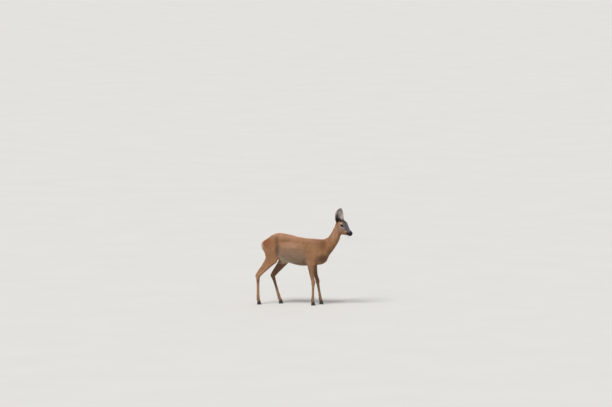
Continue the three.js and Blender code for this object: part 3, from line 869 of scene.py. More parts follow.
def paint(points, normals, owner):
    """The doe's markings with painted shade and painted highlights, as how much of each tone the coat and
    the skin have at every point.
    """
    head, body = both_sides(points)
    kinds = KINDS[owner]
    on_face, on_ear, on_leg = np.isin(kinds, FACE), kinds == "ear", kinds == "leg"
    on_trunk = kinds == "trunk"
    on_fore_leg = np.isin(np.array(FLESH)[owner], ("leg_fore_right", "leg_fore_left"))
    x, z, height = head[:, 0], head[:, 2], body[:, 2]
    tones = {}

    muzzle = fade(ahead_of_pad(head), -17, -9) * fade(z, -70, -64)
    lips = fade(np.abs(z + 64), 11, 5) * fade(x, 54, 68)
    tones["black"] = most(muzzle, lips, marks(head, HEAD_SPOTS["black"], HEAD_SOFT)) * on_face
    dark = dark_marks_and_painted_shade(points, normals, owner)

    bridge = fade(x + 0.75 * z, 20, 36) * fade(z + 0.5 * x, -30, -12) * fade(x, -34, -12) * on_face
    corner = spot(head, (24, 36, 6), (8, 10, 7), 0.4)
    cheek = 0.42 * spot(head, (-6, 42, -54), (48, 20, 22), 0.5)
    ash = marks(head, HEAD_SPOTS["ash"], HEAD_SOFT) * (1 - 0.7 * bridge)
    ash = most(ash, 0.7 * corner, cheek) * on_face
    slate = bridge * (1 - 0.7 * corner)

    belly = fade(height, 640, 500) * fade(body[:, 0], 150, 20) * fade(body[:, 0], -250, -190)
    # painted shade: grey on the sides of the fore legs that face ahead, away from the lamp
    painted_shade_shins = fade(normals[:, 0], -0.1, 0.6) * fade(height, 420, 330) * on_fore_leg
    tones["grey"] = most(0.7 * belly * on_trunk, 0.55 * painted_shade_shins, 0.22 * fade(height, 300, 200) * on_leg)
    tones["rusty"] = most(
        spot(body, (-330, 60, 640), (70, 80, 70), 0.6) * on_trunk,
        0.5 * spot(body, (250, 60, 620), (60, 80, 60), 0.6),
        marks(head, HEAD_SPOTS["rusty"], HEAD_SOFT) * on_face,
    )
    # painted highlight: the coat is lighter where it faces up along the top of the back, and on the ridges
    # of the body
    painted_top_highlight = 0.9 * fade(normals[:, 2], 0.25, 0.85) * fade(height, 600, 680)
    tones["painted_highlight"] = most(painted_top_highlight, marks(body, BODY_SPOTS["painted_highlight"], BODY_SOFT)) * (~on_ear & ~on_face)

    ear = ear_marks(points, normals, owner)
    inside, tip, base = ear["inside"], ear["tip"], ear["base"]
    tones["pale"] = np.where(on_ear, 0, pale_marks(points, normals, owner))
    # painted shade deep in each ear's cup: the milky hair gives way there to slate
    milky = (1 - 0.7 * tip) * (1 - ear["hollow"]) * (1 - base) * (1 - 0.5 * ear["front_edge"])
    tones["milky"] = inside * milky
    tones["ash"] = np.where(on_ear, np.maximum(0.55, inside), ash)
    tones["mauve"] = np.maximum(tip, 0.6 * ear["front_edge"])
    tones["dark"] = most(dark * (1 - inside), 0.7 * ear["rim"], base)
    tones["slate"] = np.maximum(np.where(on_ear, 0.35 * (1 - inside), slate), 0.9 * ear["hollow"])
    tones["bare"] = fade(off_lids(points), 3.0 * MM, 1.4 * MM)
    return tones, inside


TUFT = {  # how long and how wide the tufts are, in millimetres, by the part that they are on
    "trunk": (26, 1.7),
    "neck": (24, 1.6),
    "tail": (32, 2.8),
    "head": (10, 1.35),
    "lower_jaw": (7, 1.4),
    "ear": (9, 1.5),
    "leg": (18, 1.75),
}
LOWER_LEG_TUFT, MUZZLE_TUFT, EYE_TUFT, RUMP_TUFT = (10, 1.45), (4.5, 1.1), (3.6, 1.0), (33, 2.0)
COVER = 3.6  # how many times over the tufts cover the skin


def rump_patch(points):
    """1 over the cream patch of longer hair on the rump."""
    return spot(both_sides(points)[1], (-386, 0, 585), (36, 62, 64), 0.3)


def tuft_sizes(points, edges, owner):
    """The length and the width of the tufts over each point of the skin, in millimetres."""
    kinds = KINDS[owner]
    sizes = np.array([TUFT[kind] for kind in KINDS], float)[owner]
    special = (
        (LOWER_LEG_TUFT, fade(in_body(points)[:, 2], 420, 240) * (kinds == "leg")),
        (MUZZLE_TUFT, fade(in_head(points)[:, 0], 20, 80) * np.isin(kinds, FACE)),
        (EYE_TUFT, fade(off_eyes(points), 30 * MM, 20 * MM)),
        (RUMP_TUFT, rump_patch(points)),
    )
    for size, share in special:
        sizes = sizes + (np.array(size) - sizes) * share[:, None]
    return blur(sizes, edges, 6)


HARD = ("nose", "eye_left", "eye_right") + tuple("hoof_" + leg for leg in LEGS)


def haired(points, tones):
    """Where hair can grow: not on the lids' edges, nor where the nose or a hoof covers the skin."""
    tree, _ = nodes_tree(HARD)
    far = np.array([tree.find_nearest(point, 0.05)[3] or 0.05 for point in points.tolist()])
    clear = (far > 0.7 * MM) | (off_eyes(points) < 26 * MM)
    return clear & (off_lids(points) >= 1.8 * MM) & (tones["bare"] < 0.5)


# ---- Tufts ----------------------------------------------------------------------------------------------

PATCH = 0.003  # how large a tuft's patch is on the unwrapped skin
PATCH_EDGE = 0.0005  # how near the edge of the unwrapped skin a patch may come
SWAY, SWAY_WAVE = 0.16, 34  # how far the lie sways from lock to lock, and over how many millimetres
STRAY, BEND = 0.13, 0.07  # how far single tufts stray from the lie, and how far they bend
LONG_RANGE, WIDE_RANGE, HIGH_RANGE = (0.75, 1.2), (0.75, 1.25), (0.55, 1.05)  # how much they differ
LEAST_HEIGHT = 0.35 * MM  # how high a tuft stands where the coat has no depth
ROOT_DEPTH = 1.0 * MM  # how deep a tuft starts in the skin
# A tuft's corners from root to tip: one at the root, three at each station and one at the tip. A station is
# how far along the tuft it is and how much of the tuft's full breadth it has.
STATIONS, SMALL_STATIONS = ((0.22, 0.8), (0.62, 1.0)), ((0.35, 1.0),)
TUFT_FACES = np.array(
    [(0, 2, 1), (0, 3, 2), (0, 1, 3)]
    + [(1, 2, 5), (1, 5, 4), (2, 3, 6), (2, 6, 5), (3, 1, 4), (3, 4, 6)]
    + [(4, 5, 7), (5, 6, 7), (6, 4, 7)]
)
SMALL_TUFT_FACES = np.array([(0, 2, 1), (0, 3, 2), (0, 1, 3), (1, 2, 4), (2, 3, 4), (3, 1, 4)])


def lay_flat(points, triangles):
    """An unwrap of a stretch of the skin: where each corner of each of its triangles lies on the flat."""
    used, inverse = np.unique(triangles, return_inverse=True)
    mesh = new_mesh("flat", points[used], inverse.reshape(triangles.shape))
    mesh.uv_layers.new(name="flat")
    holder = new_object("flat", mesh)
    bpy.context.view_layer.objects.active = holder
    holder.select_set(True)
    bpy.ops.object.mode_set(mode="EDIT")
    bpy.ops.mesh.select_all(action="SELECT")
    bpy.ops.uv.smart_project(angle_limit=1.15, island_margin=0.004, scale_to_bounds=True)
    bpy.ops.object.mode_set(mode="OBJECT")
    flat = np.empty(len(mesh.loops) * 2, np.float32)
    mesh.uv_layers["flat"].data.foreach_get("uv", flat)
    bpy.data.objects.remove(holder)
    bpy.data.meshes.remove(mesh)
    return flat.reshape(-1, 3, 2)


def scatter(points, triangles, spacing, random):
    """Roots spread over triangles, one for each stretch of skin of the size that spacing gives there."""
    a, b, c = (points[triangles[:, corner]] for corner in range(3))
    area = np.linalg.norm(np.cross(b - a, c - a), axis=1) / 2
    wanted = area / spacing[triangles].mean(axis=1)
    count = np.floor(wanted + random.random(len(wanted))).astype(int)
    chosen = np.repeat(np.arange(len(triangles)), count)
    u, v = random.random((2, len(chosen)))
    folded = u + v > 1
    u[folded], v[folded] = 1 - u[folded], 1 - v[folded]
    return chosen, np.stack([1 - u - v, u, v], axis=1)


def tuft_points(skin, at_root, random, small, stand, hug, thick):
    """The points of each tuft from its root to its tip, and how far along and across it they lie."""
    root, normal = at_root(skin["points"]), unit(at_root(skin["normals"]))
    lie, depth, size = at_root(skin["lie"]), at_root(skin["depth"]), at_root(skin["sizes"])
    count = len(root)
    sway = wander(root / MM, SWAY_WAVE, 3) * SWAY + random.normal(0, STRAY, count)
    lie = along_surface(lie, normal)
    lie = unit(lie + np.cross(normal, lie) * sway[:, None])
    side = np.cross(normal, lie)
    long = size[:, 0] * MM * random.uniform(*LONG_RANGE, count)
    wide = size[:, 1] * MM * random.uniform(*WIDE_RANGE, count)
    high = (depth + LEAST_HEIGHT) * random.uniform(*HIGH_RANGE, count)
    lie = lie + normal * stand
    tip = root + lie * long[:, None]
    landed = np.array([tuple(skin["tree"].find_nearest(place)[0]) for place in tip.tolist()])
    over_hoof = fade(tip[:, 2], (CORONET + 7) * MM, (CORONET - 1) * MM)[:, None]
    landed = tip + (landed - tip) * hug * (1 - over_hoof) + normal * over_hoof * 0.4 * MM
    bend = random.normal(0, BEND, count)

    rows, across, along = [root - normal * ROOT_DEPTH], [0.0], [0.0]
    for share, breadth in SMALL_STATIONS if small else STATIONS:
        middle = root + (landed - root) * share
        sagged = lie * long[:, None] * share + root
        middle = middle * share + sagged * (1 - share)
        lift = high * (1 - (1 - share) ** 2)
        middle = middle + normal * lift[:, None] + side * (bend * long * share * share)[:, None]
        half = side * (wide * breadth / 2)[:, None]
        crest = normal * (wide * breadth * thick)[:, None]
        rows += [middle - half, middle + crest, middle + half]
        across += [-1.0, 0.0, 1.0]
        along += [share] * 3
    rows.append(landed + normal * high[:, None] + side * (bend * long)[:, None])
    return np.stack(rows, axis=1), np.array(across + [0.0]), np.array(along + [1.0])


def coat_piece(name, skin, chosen, random, small=False, cover=COVER, stand=0.0, hug=1.0, thick=0.32):
    """One joined mesh of tufts over chosen triangles of the skin.

    Tufts that stand lean out by that share of their length. Hug is how closely a tip keeps to the skin.
    """
    points, triangles, sizes = skin["points"], skin["triangles"][chosen], skin["sizes"]
    picked, weights = scatter(points, triangles, sizes[:, 0] * sizes[:, 1] * MM * MM / cover, random)
    flat = lay_flat(points, triangles)

    def at_root(values):
        """Values of the skin at each tuft's root."""
        own = values[triangles[picked]]
        shape = (-1, 3) + (1,) * (own.ndim - 2)
        return (own * weights.reshape(shape)).sum(axis=1)

    tufts, across, along = tuft_points(skin, at_root, random, small, stand, hug, thick)
    count, per = tufts.shape[:2]
    one = SMALL_TUFT_FACES if small else TUFT_FACES
    faces = (one[None] + np.arange(count)[:, None, None] * per).reshape(-1, 3)
    mesh = new_mesh(name, tufts.reshape(-1, 3), faces)
    spread = np.stack([across * PATCH / 2, (along - 0.5) * PATCH], axis=1)
    places = (flat[picked] * weights[:, :, None]).sum(axis=1)[:, None, :] + spread[None]
    places = np.clip(places, PATCH_EDGE, 1 - PATCH_EDGE).reshape(-1, 2)[faces.ravel()]
    mesh.uv_layers.new(name="OFBake").data.foreach_set("uv", places.astype(np.float32).ravel())
    give(mesh, "along", np.tile(along, count))
    give(mesh, "across", np.tile(across, count))
    give(mesh, "tone", np.repeat(random.normal(0, 1, count).clip(-2, 2), per))
    for label, values in skin["tones"].items():
        give(mesh, label, np.repeat(at_root(values), per))
    return new_object(name, mesh)


# ---- Finishes -------------------------------------------------------------------------------------------


def linear(code):
    """A colour written as sRGB hex, as the linear numbers that a shader takes."""
    values = [int(code[place : place + 2], 16) / 255 for place in (1, 3, 5)]
    return [v / 12.92 if v <= 0.04045 else ((v + 0.055) / 1.055) ** 2.4 for v in values] + [1.0]


def connect(tree, node, inputs):
    """Links each input that is given another node's socket, and sets any other on its own socket."""
    for key, value in inputs.items():
        if isinstance(value, bpy.types.NodeSocket):
            tree.links.new(value, node.inputs[key])
        else:
            node.inputs[key].default_value = value


def add(tree, kind, inputs, output=0, **settings):
    """Adds a shader node with its settings and links, and gives back one of its outputs."""
    made = tree.nodes.new("ShaderNode" + kind)
    for key, value in settings.items():
        setattr(made, key, value)
    connect(tree, made, inputs)
    return made.outputs[output]


def new_material(name, inputs_from):
    """A material whose surface has the inputs that inputs_from makes from places on the doe, in metres."""
    material = bpy.data.materials.new(name)
    material.use_nodes = True
    tree = material.node_tree
    inputs = inputs_from(tree, add(tree, "TexCoord", {}, "Object"))
    connect(tree, tree.nodes["Principled BSDF"], inputs)
    return material


SMOOTH = {"interpolation_type": "SMOOTHSTEP"}
COLOURS = {"output": 2, "data_type": "RGBA"}
MARKING_TONES = {  # in the order that they lie over the summer red
    # The first tone is a painted highlight on the top of the back and on the ridges; the dark brown is the
    # markings' own and painted shade too; slate is the grey of the nose bridge and the ears' backs, and
    # painted shade in their cups.
    "painted_highlight": "#e6b592",
    "rusty": "#c07f52",
    "grey": "#a3907f",
    "ash": "#aba39c",
    "slate": "#716873",
    "pale": "#eddcbf",
    "mauve": "#cbb4bd",
    "milky": "#efe4dd",
    "dark": "#46332a",
    "black": "#131012",
    "bare": "#191312",
}
SUMMER_RED, SUMMER_TAN = "#cd996c", "#c18e63"
# How many times over a metre each pattern repeats.
PATCH_SCALE = 9.0  # large drifts of colour, about 11 cm across
LOCK_SCALE = 90.0  # locks of about 11 mm that differ a little
UNDERFUR_SCALE = 700.0  # curls of underfur, 1.4 mm
PEBBLE_SCALE = 620.0  # pebbles of the nose leather, 1.6 mm
WARP_SCALE = 60.0  # how the growth rings of horn waver, over 17 mm
STREAK_SCALE = (900, 900, 40)  # streaks down the horn, 1.1 mm wide and 25 mm long
RING_STEP = 2.6 * MM  # from one growth ring to the next
MOTTLE_SCALE = 1.5  # mottling of the floor, 70 cm


def markings_group():
    """The doe's colours at every place on her. Skin and coat both take them from here, so they agree."""
    tree = bpy.data.node_groups.new("Roe markings", "ShaderNodeTree")
    tree.interface.new_socket("Colour", in_out="OUTPUT", socket_type="NodeSocketColor")
    where = add(tree, "TexCoord", {}, "Object")
    drift = add(tree, "TexNoise", {"Vector": where, "Scale": PATCH_SCALE, "Detail": 2.0})
    drift = add(tree, "MapRange", {0: drift, 1: 0.35, 2: 0.65}, **SMOOTH)
    colour = add(tree, "Mix", {0: drift, 6: linear(SUMMER_RED), 7: linear(SUMMER_TAN)}, **COLOURS)
    locks = add(tree, "TexNoise", {"Vector": where, "Scale": LOCK_SCALE, "Detail": 2.0})
    ragged = add(tree, "Math", {0: locks, 1: 0.5}, operation="SUBTRACT")
    for name, code in MARKING_TONES.items():
        amount = add(tree, "Attribute", {}, "Fac", attribute_name=name)
        broken = add(tree, "Math", {0: ragged, 1: 0.5, 2: amount}, operation="MULTIPLY_ADD")
        inside = add(tree, "Math", {0: amount, 1: 0.02}, operation="GREATER_THAN")
        share = add(tree, "Math", {0: broken, 1: inside}, operation="MULTIPLY", use_clamp=True)
        colour = add(tree, "Mix", {0: share, 6: colour, 7: linear(code)}, **COLOURS)
    shade = add(tree, "MapRange", {0: locks, 1: 0.3, 2: 0.7, 3: 0.9, 4: 1.08}, **SMOOTH)
    shaded = add(tree, "VectorMath", {0: colour, "Scale": shade}, operation="SCALE")
    connect(tree, tree.nodes.new("NodeGroupOutput"), {0: shaded})
    return tree


MARKINGS = markings_group()


def haired_skin(tree, where):
    """Living skin under dense short underfur, dull, and darkened as painted shade between the tufts; bare
    and damp at the lids.
    """
    fuzz = add(tree, "TexNoise", {"Vector": where, "Scale": UNDERFUR_SCALE, "Detail": 3.0})
    bare = add(tree, "Attribute", {}, "Fac", attribute_name="bare")
    colour = add(tree, "Group", {}, node_tree=MARKINGS)
    return {
        # painted shade: the markings darkened where the skin shows between the tufts
        "Base Color": add(tree, "VectorMath", {0: colour, "Scale": 0.72}, operation="SCALE"),
        "Roughness": add(tree, "MapRange", {0: bare, 1: 0.3, 2: 0.9, 3: 0.85, 4: 0.42}, **SMOOTH),
        "Specular IOR Level": 0.3,
        "Normal": add(tree, "Bump", {"Height": fuzz, "Strength": 0.5, "Distance": 0.4 * MM}),
    }


STRANDS = 5.0  # hairs that show across one tuft


def guard_hair(tree, _):
    """Roe guard hair, hollow and a little waxy: dark at a tuft's root as the hair is there, with painted
    shade deep in the coat, lighter and redder at its tip.
    """
    along, across, own = (
        add(tree, "Attribute", {}, "Fac", attribute_name=name) for name in ("along", "across", "tone")
    )
    root_shade = add(tree, "MapRange", {0: along, 1: 0.0, 2: 0.75, 3: 0.74, 4: 1.05}, **SMOOTH)
    varied = add(tree, "Math", {0: own, 1: 0.075, 2: root_shade}, operation="MULTIPLY_ADD")
    colour = add(tree, "Group", {}, node_tree=MARKINGS)
    lane = add(tree, "Math", {0: own, 1: 7.3, 2: across}, operation="MULTIPLY_ADD")
    lane = add(tree, "CombineXYZ", {0: lane, 1: along, 2: own})
    lane = add(tree, "Mapping", {"Vector": lane, "Scale": (STRANDS / 2, 0.7, 3.0)})
    strands = add(tree, "TexNoise", {"Vector": lane, "Scale": 1.0, "Detail": 1.0})
    return {
        "Base Color": add(tree, "VectorMath", {0: colour, "Scale": varied}, operation="SCALE"),
        "Roughness": 0.68,
        "Specular IOR Level": 0.3,
        "Sheen Weight": 0.12,
        "Sheen Roughness": 0.45,
        "Normal": add(tree, "Bump", {"Height": strands, "Strength": 0.45, "Distance": 0.35 * MM}),
    }


def nose_leather(tree, where):
    """Bare moist nose leather: black skin parted into fine pebbles, with a wet film."""
    pebbles = add(tree, "TexVoronoi", {"Vector": where, "Scale": PEBBLE_SCALE}, "Distance", feature="F1")
    height = add(tree, "MapRange", {0: pebbles, 1: 0.0, 2: 0.6, 3: 1.0, 4: 0.0}, **SMOOTH)
    return {
        "Base Color": add(tree, "Mix", {0: height, 6: linear("#090808"), 7: linear("#1d1a1b")}, **COLOURS),
        "Roughness": 0.5,
        "Specular IOR Level": 0.25,
        "Coat Weight": 0.2,
        "Coat Roughness": 0.22,
        "Normal": add(tree, "Bump", {"Height": height, "Strength": 0.35, "Distance": 0.3 * MM}),
    }


def hoof_horn(tree, where):
    """Hoof horn, worn smooth: almost black keratin with growth rings, paler and scuffed at toe and sole."""
    warp = add(tree, "TexNoise", {"Vector": where, "Scale": WARP_SCALE, "Detail": 3.0})
    height = add(tree, "SeparateXYZ", {0: where}, "Z")
    rings = add(tree, "Math", {0: height, 1: 2 * math.pi / RING_STEP}, operation="MULTIPLY")
    rings = add(tree, "Math", {0: warp, 1: 9.0, 2: rings}, operation="MULTIPLY_ADD")
    rings = add(tree, "Math", {0: rings}, operation="SINE")
    streaks = add(tree, "Mapping", {"Vector": where, "Scale": STREAK_SCALE})
    streaks = add(tree, "TexNoise", {"Vector": streaks, "Scale": 1.0, "Detail": 2.0})
    streaks = add(tree, "MapRange", {0: streaks, 1: 0.3, 2: 0.7}, **SMOOTH)
    worn = add(tree, "MapRange", {0: height, 1: 9 * MM, 2: 0.0}, **SMOOTH)
    worn = add(tree, "Math", {0: worn, 1: warp}, operation="MULTIPLY")
    colour = add(tree, "Mix", {0: streaks, 6: linear("#1d1917"), 7: linear("#3b322c")}, **COLOURS)
    return {
        "Base Color": add(tree, "Mix", {0: worn, 6: colour, 7: linear("#7b6b5a")}, **COLOURS),
        "Roughness": 0.46,
        "IOR": 1.55,
        "Normal": add(tree, "Bump", {"Height": rings, "Strength": 0.35, "Distance": 0.25 * MM}),
    }


PUPIL = (6.4, 4.2)  # half its length and height, in millimetres
IRIS = 11.5  # the iris's radius, in millimetres
FIBRE_SCALE = 2.6  # fibres of the iris, 0.4 mm


def wet_eye(tree, _):
    """A wet doe's eye: a dark brown iris with a long level pupil, under a clear cornea."""
    flat = add(tree, "UVMap", {}, uv_map="gaze")
    oval = add(tree, "Mapping", {"Vector": flat, "Scale": (1 / PUPIL[0], 1 / PUPIL[1], 0)})
    oval = add(tree, "VectorMath", {0: oval}, "Value", operation="LENGTH")
    away = add(tree, "VectorMath", {0: flat}, "Value", operation="LENGTH")
    fibres = add(tree, "TexNoise", {"Vector": flat, "Scale": FIBRE_SCALE, "Detail": 4.0})
    fibres = add(tree, "MapRange", {0: fibres, 1: 0.3, 2: 0.7}, **SMOOTH)
    iris = add(tree, "Mix", {0: fibres, 6: linear("#1c110b"), 7: linear("#2f1c12")}, **COLOURS)
    rim = add(tree, "MapRange", {0: away, 1: IRIS - 3.5, 2: IRIS}, **SMOOTH)
    iris = add(tree, "Mix", {0: rim, 6: iris, 7: linear("#0c0807")}, **COLOURS)
    pupil = add(tree, "MapRange", {0: oval, 1: 0.9, 2: 1.15}, **SMOOTH)
    return {
        "Base Color": add(tree, "Mix", {0: pupil, 6: linear("#030303"), 7: iris}, **COLOURS),
        "Roughness": 0.3,
        "Specular IOR Level": 0.0,
        "Coat Weight": 1.0,
        "Coat IOR": 1.376,
        "Coat Roughness": 0.03,
    }


def studio_floor(tree, where):
    """Matt pale studio floor, painted."""
    mottle = add(tree, "TexNoise", {"Vector": where, "Scale": MOTTLE_SCALE, "Detail": 3.0})
    colour = add(tree, "Mix", {0: mottle, 6: linear("#cfcdc9"), 7: linear("#d6d4d0")}, **COLOURS)
    return {"Base Color": colour, "Roughness": 0.9}


SKIN_FINISH = new_material("haired skin", haired_skin)
COAT_FINISH = new_material("guard hair", guard_hair)
NOSE_FINISH = new_material("nose leather", nose_leather)
HORN_FINISH = new_material("hoof horn", hoof_horn)
EYE_FINISH = new_material("wet eye", wet_eye)


def finished(piece, slot, material, *nodes):
    """Gives a piece its material, the CAD nodes it stands for, and the body it rides on; its slot is not
    used.
    """
    piece.data.materials.append(material)
    if nodes:
        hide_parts(*nodes)
    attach(piece, "root")
    return piece


# ---- Eyes, nose, hooves and dewclaws --------------------------------------------------------------------


def globe(across, around):
    """A closed ball of radius 1 with its poles on Z: its points and its triangles."""
    points = [(0, 0, 1)]
    for row in range(1, across):
        polar = math.pi * row / across
        for step in range(around):
            turn, out = 2 * math.pi * step / around, math.sin(polar)
            points.append((out * math.cos(turn), out * math.sin(turn), math.cos(polar)))
    points.append((0, 0, -1))
    faces, last = [], len(points) - 1
    for step in range(around):
        after = (step + 1) % around
        faces.append((0, 1 + step, 1 + after))
        for row in range(across - 2):
            a, b = 1 + row * around + step, 1 + row * around + after
            faces += [(a, a + around, b + around), (a, b + around, b)]
        base = 1 + (across - 2) * around
        faces.append((base + step, last, base + after))
    return np.array(points, float), np.array(faces)


CORNEA = 0.7 * MM  # how far the cornea stands off the ball


def make_eye(side):
    """An eyeball with its cornea, set deep between the lids."""
    name = "eye_left" if side > 0 else "eye_right"
    centre, gaze, along, high = eye_frame(side)
    level = along * math.cos(EYE_SLANT) - high * math.sin(EYE_SLANT)
    upright = high * math.cos(EYE_SLANT) + along * math.sin(EYE_SLANT)
    ball, faces = globe(28, 40)
    turn = np.stack([level, np.cross(gaze, level), gaze], axis=1)
    bulge = CORNEA * np.exp(-(np.arccos(np.clip(ball[:, 2], -1, 1)) / 0.62) ** 2)
    points = centre + (ball * (EYE_BALL + bulge)[:, None]) @ turn.T
    mesh = new_mesh(name.replace("eye", "eyeball"), points, faces)
    offset = (points - centre) / MM
    flat = np.stack([offset @ level, offset @ upright], axis=1)[faces.ravel()]
    mesh.uv_layers.new(name="gaze").data.foreach_set("uv", flat.astype(np.float32).ravel())
    return finished(new_object(mesh.name, mesh), "eye", EYE_FINISH, name)


def fine_copy(node, voxel, rounds):
    """A CAD node's shape as a fine even surface with its facets smoothed away."""
    points, triangles, edges = remeshed((node,), voxel)
    return relax(points, edges, rounds, 1.0), triangles, edges


def make_nose():
    """The nose leather: two comma nostrils and a groove down the middle to the lip."""
    points, triangles, edges = fine_copy("nose", 0.9 * MM, 10)
    head, _ = both_sides(points)
    x, y, z = head.T
    groove = np.exp(-(y / 1.3) ** 2) * fade(x, 108, 116) * fade(z, -40, -50)
    tail = z + 47.5 + 0.35 * (y - 8.5)
    comma = np.exp(-(tail / 1.5) ** 2) * fade(y, 8, 11) * fade(y, 17.5, 14.5) * fade(x, 102, 107)
    wing = np.exp(-((y - 9.5) / 5.5) ** 2 - ((z + 41) / 3.0) ** 2)
    to_pad = ahead_of_pad(head)
    shift = (0.9 * wing - 1.5 * groove - 3.0 * comma - 0.9 * fade(to_pad, 5, 0)) * MM
    points = points + point_normals(points, triangles) * shift[:, None]
    ahead = HEAD_AXES @ np.array([math.cos(PAD_TILT), 0, -math.sin(PAD_TILT)])
    points = points - ahead * (6 * MM * fade(to_pad, 2.4, 0.6))[:, None]
    points = relax(points, edges, 2, 0.6)
    piece = new_object("nose_leather", new_mesh("nose_leather", points, triangles))
    return finished(piece, "nose_leather", NOSE_FINISH, "nose")


def make_hoof(leg):
    """One cloven hoof, its walls rounded by wear and its sole flat on the floor."""
    points, triangles, _ = fine_copy("hoof_" + leg, 1.3 * MM, 14)
    points[points[:, 2] < 0.7 * MM, 2] = 0
    mesh = new_mesh("hoof_horn_" + leg, points, triangles)
    return finished(new_object(mesh.name, mesh), "horn", HORN_FINISH, "hoof_" + leg)


DEWCLAW_TILT = math.radians(30)
DEWCLAW_WIDE, DEWCLAW_LONG = 5.2 * MM, 11.8 * MM


def make_dewclaws(leg):
    """The two small claws behind a pastern, blunt points down and back."""
    ball, faces = globe(12, 16)
    down = np.clip(-ball[:, 2], 0, 1)
    ball[:, :2] *= (1 - 0.3 * down**2)[:, None]
    shape = ball * np.array([DEWCLAW_WIDE, DEWCLAW_WIDE, DEWCLAW_LONG])
    turn = np.array(Matrix.Rotation(DEWCLAW_TILT, 3, "Y"))
    nodes = [f"dewclaw_{leg}_{place}" for place in ("inner", "outer")]
    ahead = np.array([2.2 * MM, 0, 0])
    points = np.concatenate([shape @ turn.T + np.array(middle_of(node)) + ahead for node in nodes])
    faces = np.concatenate([faces, faces + len(ball)])
    mesh = new_mesh("dewclaw_horn_" + leg, points, faces)
    return finished(new_object(mesh.name, mesh), "horn", HORN_FINISH, *nodes)


# ---- The doe --------------------------------------------------------------------------------------------


def skin_fields():
    """The skin, with all that the coat and the hair take from it at each of its points."""
    points, triangles, edges, depth, owner = make_skin()
    normals = point_normals(points, triangles)
    tones, inside_ear = paint(points, normals, owner)
    coronet_hair = 0.9 * MM * fade(points[:, 2], 50 * MM, 38 * MM)
    return {
        "points": points,
        "triangles": triangles,
        "normals": blur(normals, edges, 1),
        "lie": coat_lie(points, normals, edges, owner),
        "depth": depth * (1 + 0.9 * rump_patch(points)) + coronet_hair,
        "sizes": tuft_sizes(points, edges, owner),
        "tones": tones,
        "tree": BVHTree.FromPolygons(points.tolist(), triangles.tolist()),
        "owner": owner,
        "inside_ear": inside_ear,
    }


LONG_SPLIT = -60  # where along the body the shoulders' coat ends and the rump's starts


def coat_areas(skin):
    """Each piece of coat: its name, its triangles of the skin, whether its tufts are small, and its slot."""
    triangles = skin["triangles"]
    owner = skin["owner"][triangles[:, 0]]
    place, kinds = in_body(skin["points"][triangles].mean(axis=1)), KINDS[owner]
    trunk, ahead, left = kinds == "trunk", place[:, 0] > LONG_SPLIT, place[:, 1] >= 0
    yield "coat_face", np.isin(kinds, FACE), True, "coat"
    yield "coat_ears", kinds == "ear", True, "ear_coat"
    yield "coat_neck", kinds == "neck", False, "coat"
    for name, half in (("shoulders", ahead), ("rump", ~ahead)):
        yield f"coat_{name}_right", trunk & half & ~left, False, "coat"
        yield f"coat_{name}_left", trunk & half & left, False, "coat"
    yield "coat_tail", kinds == "tail", False, "rump_hair"
    for leg in LEGS:
        yield "coat_leg_" + leg, owner == FLESH.index("leg_" + leg), False, "coat"


def hair_piece(name, skin, on, size, way, colour, slot="coat", **settings):
    """A few long hairs of one size and one tone where on says, each lying the way given for its root."""
    own, count = dict(skin), len(way)
    own["sizes"] = np.tile(np.array(size, float), (count, 1))
    own["lie"] = way
    own["tones"] = {label: np.full(count, float(label == colour)) for label in skin["tones"]}
    chosen = on[skin["triangles"]].all(axis=1)
    piece = coat_piece(name, own, chosen, np.random.default_rng(SEED), **settings)
    return finished(piece, slot, COAT_FINISH)


def make_ear_hair(skin):
    """The long pale hair that crosses an ear's opening from its front edge."""
    points = skin["points"]
    way, near_edge = np.zeros_like(points), np.zeros(len(points), bool)
    for ear, pose in EARS.items():
        share, across, _, along, open_way = ear_place(points, ear)
        on_ear = skin["owner"] == FLESH.index(ear)
        own = on_ear & (skin["inside_ear"] > 0.6) & (share > 0.14) & (share < 0.7)
        near_edge |= own & (pose["side"] * across > 12)
        way[own] = along * 0.85 - pose["side"] * unit(np.cross(open_way, along)) * 0.55
    settings = {"cover": 1.8, "stand": 0.12, "hug": 0.4}
    hair_piece("ear_hair", skin, near_edge, (26, 1.2), way, "milky", "ear_coat", **settings)


def make_lashes(skin):
    """Dark lashes that stand out from the upper lids and droop a little over the eye."""
    points = skin["points"]
    way, on_rim = np.zeros_like(points), np.zeros(len(points), bool)
    for side in (-1, 1):
        _, out, a, b, edge = lid_place(points, side)
        _, _, along, high = eye_frame(side)
        own = (out > 0) & (edge > 0.6 * MM) & (edge < 2.4 * MM) & (b > 2.5 * MM)
        on_rim |= own
        fan = (a / EYE_LONG)[:, None]
        way = np.where(own[:, None], unit(fan * 0.7 * along - 0.55 * high), way)
    settings = {"cover": 1.1, "stand": 1.1, "hug": 0.0, "thick": 0.5}
    hair_piece("lashes", skin, on_rim, (7.5, 0.42), way, "black", **settings)


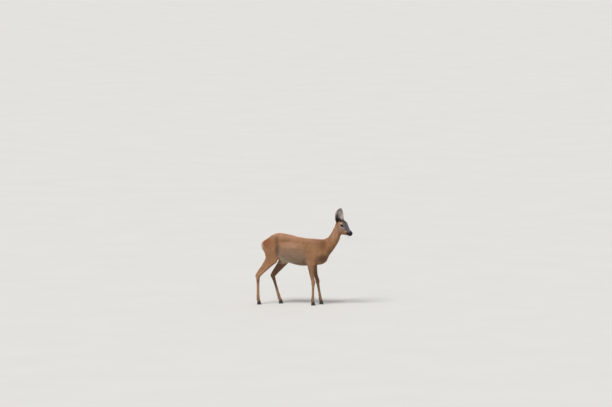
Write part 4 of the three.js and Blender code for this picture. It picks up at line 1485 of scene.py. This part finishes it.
def make_whiskers(skin):
    """The few long dark feelers on the lips, the chin and over the eyes."""
    head, _ = both_sides(skin["points"])
    lip = spot(head, (88, 17, -60), (20, 10, 12), 0.2) + spot(head, (82, 8, -80), (22, 10, 6), 0.2)
    brow = 0.7 * spot(head, (14, 38, 20), (8, 6, 3), 0.2) + spot(head, (34, 36, -26), (8, 8, 5), 0.2)
    way = np.tile(HEAD_AXES @ unit((-0.25, 0, -0.6)), (len(head), 1))
    settings = {"cover": 0.07, "stand": 1.3, "hug": 0.0, "thick": 0.5}
    hair_piece("whiskers", skin, lip + brow > 0.5, (20, 0.4), way, "black", **settings)


def make_doe():
    """All of her pieces."""
    skin = skin_fields()
    mesh = new_mesh("skin", skin["points"], skin["triangles"])
    for label, values in skin["tones"].items():
        give(mesh, label, values)
    finished(new_object("skin", mesh), "coat", SKIN_FINISH, *FLESH)
    grows = haired(skin["points"], skin["tones"])[skin["triangles"]].all(axis=1)
    for index, (name, area, small, slot) in enumerate(coat_areas(skin)):
        random = np.random.default_rng(SEED + index)
        finished(coat_piece(name, skin, area & grows, random, small=small), slot, COAT_FINISH)
    make_ear_hair(skin)
    make_lashes(skin)
    make_whiskers(skin)
    for side in (-1, 1):
        make_eye(side)
    make_nose()
    for leg in LEGS:
        make_hoof(leg)
        make_dewclaws(leg)


make_doe()

# ---- Studio ---------------------------------------------------------------------------------------------

FLOOR_SIZE = 400.0
KEY_LIGHT, KEY_SPREAD = 2.8, math.radians(25)
KEY_FROM = (-0.25, -0.46, 0.85)
SKY_LIGHT = 0.45


def make_studio():
    """A pale floor with no edge in sight, an even pale sky and one soft lamp high behind the viewer."""
    half = FLOOR_SIZE / 2
    corners = np.array([[-half, -half, 0], [half, -half, 0], [half, half, 0], [-half, half, 0]])
    floor = new_object("floor", new_mesh("floor", corners, np.array([[0, 1, 2, 3]])))
    floor.data.materials.append(new_material("studio floor", studio_floor))
    world = bpy.data.worlds.new("studio sky")
    world.use_nodes = True
    background = world.node_tree.nodes["Background"]
    background.inputs["Color"].default_value = (1, 1, 1, 1)
    background.inputs["Strength"].default_value = SKY_LIGHT
    bpy.context.scene.world = world
    lamp = bpy.data.lights.new("key", "SUN")
    lamp.energy = KEY_LIGHT
    lamp.angle = KEY_SPREAD
    key = bpy.data.objects.new("key", lamp)
    key.rotation_euler = Vector(KEY_FROM).to_track_quat("Z", "Y").to_euler()
    bpy.context.scene.collection.objects.link(key)
    bpy.context.scene.view_settings.view_transform = "Standard"


make_studio()
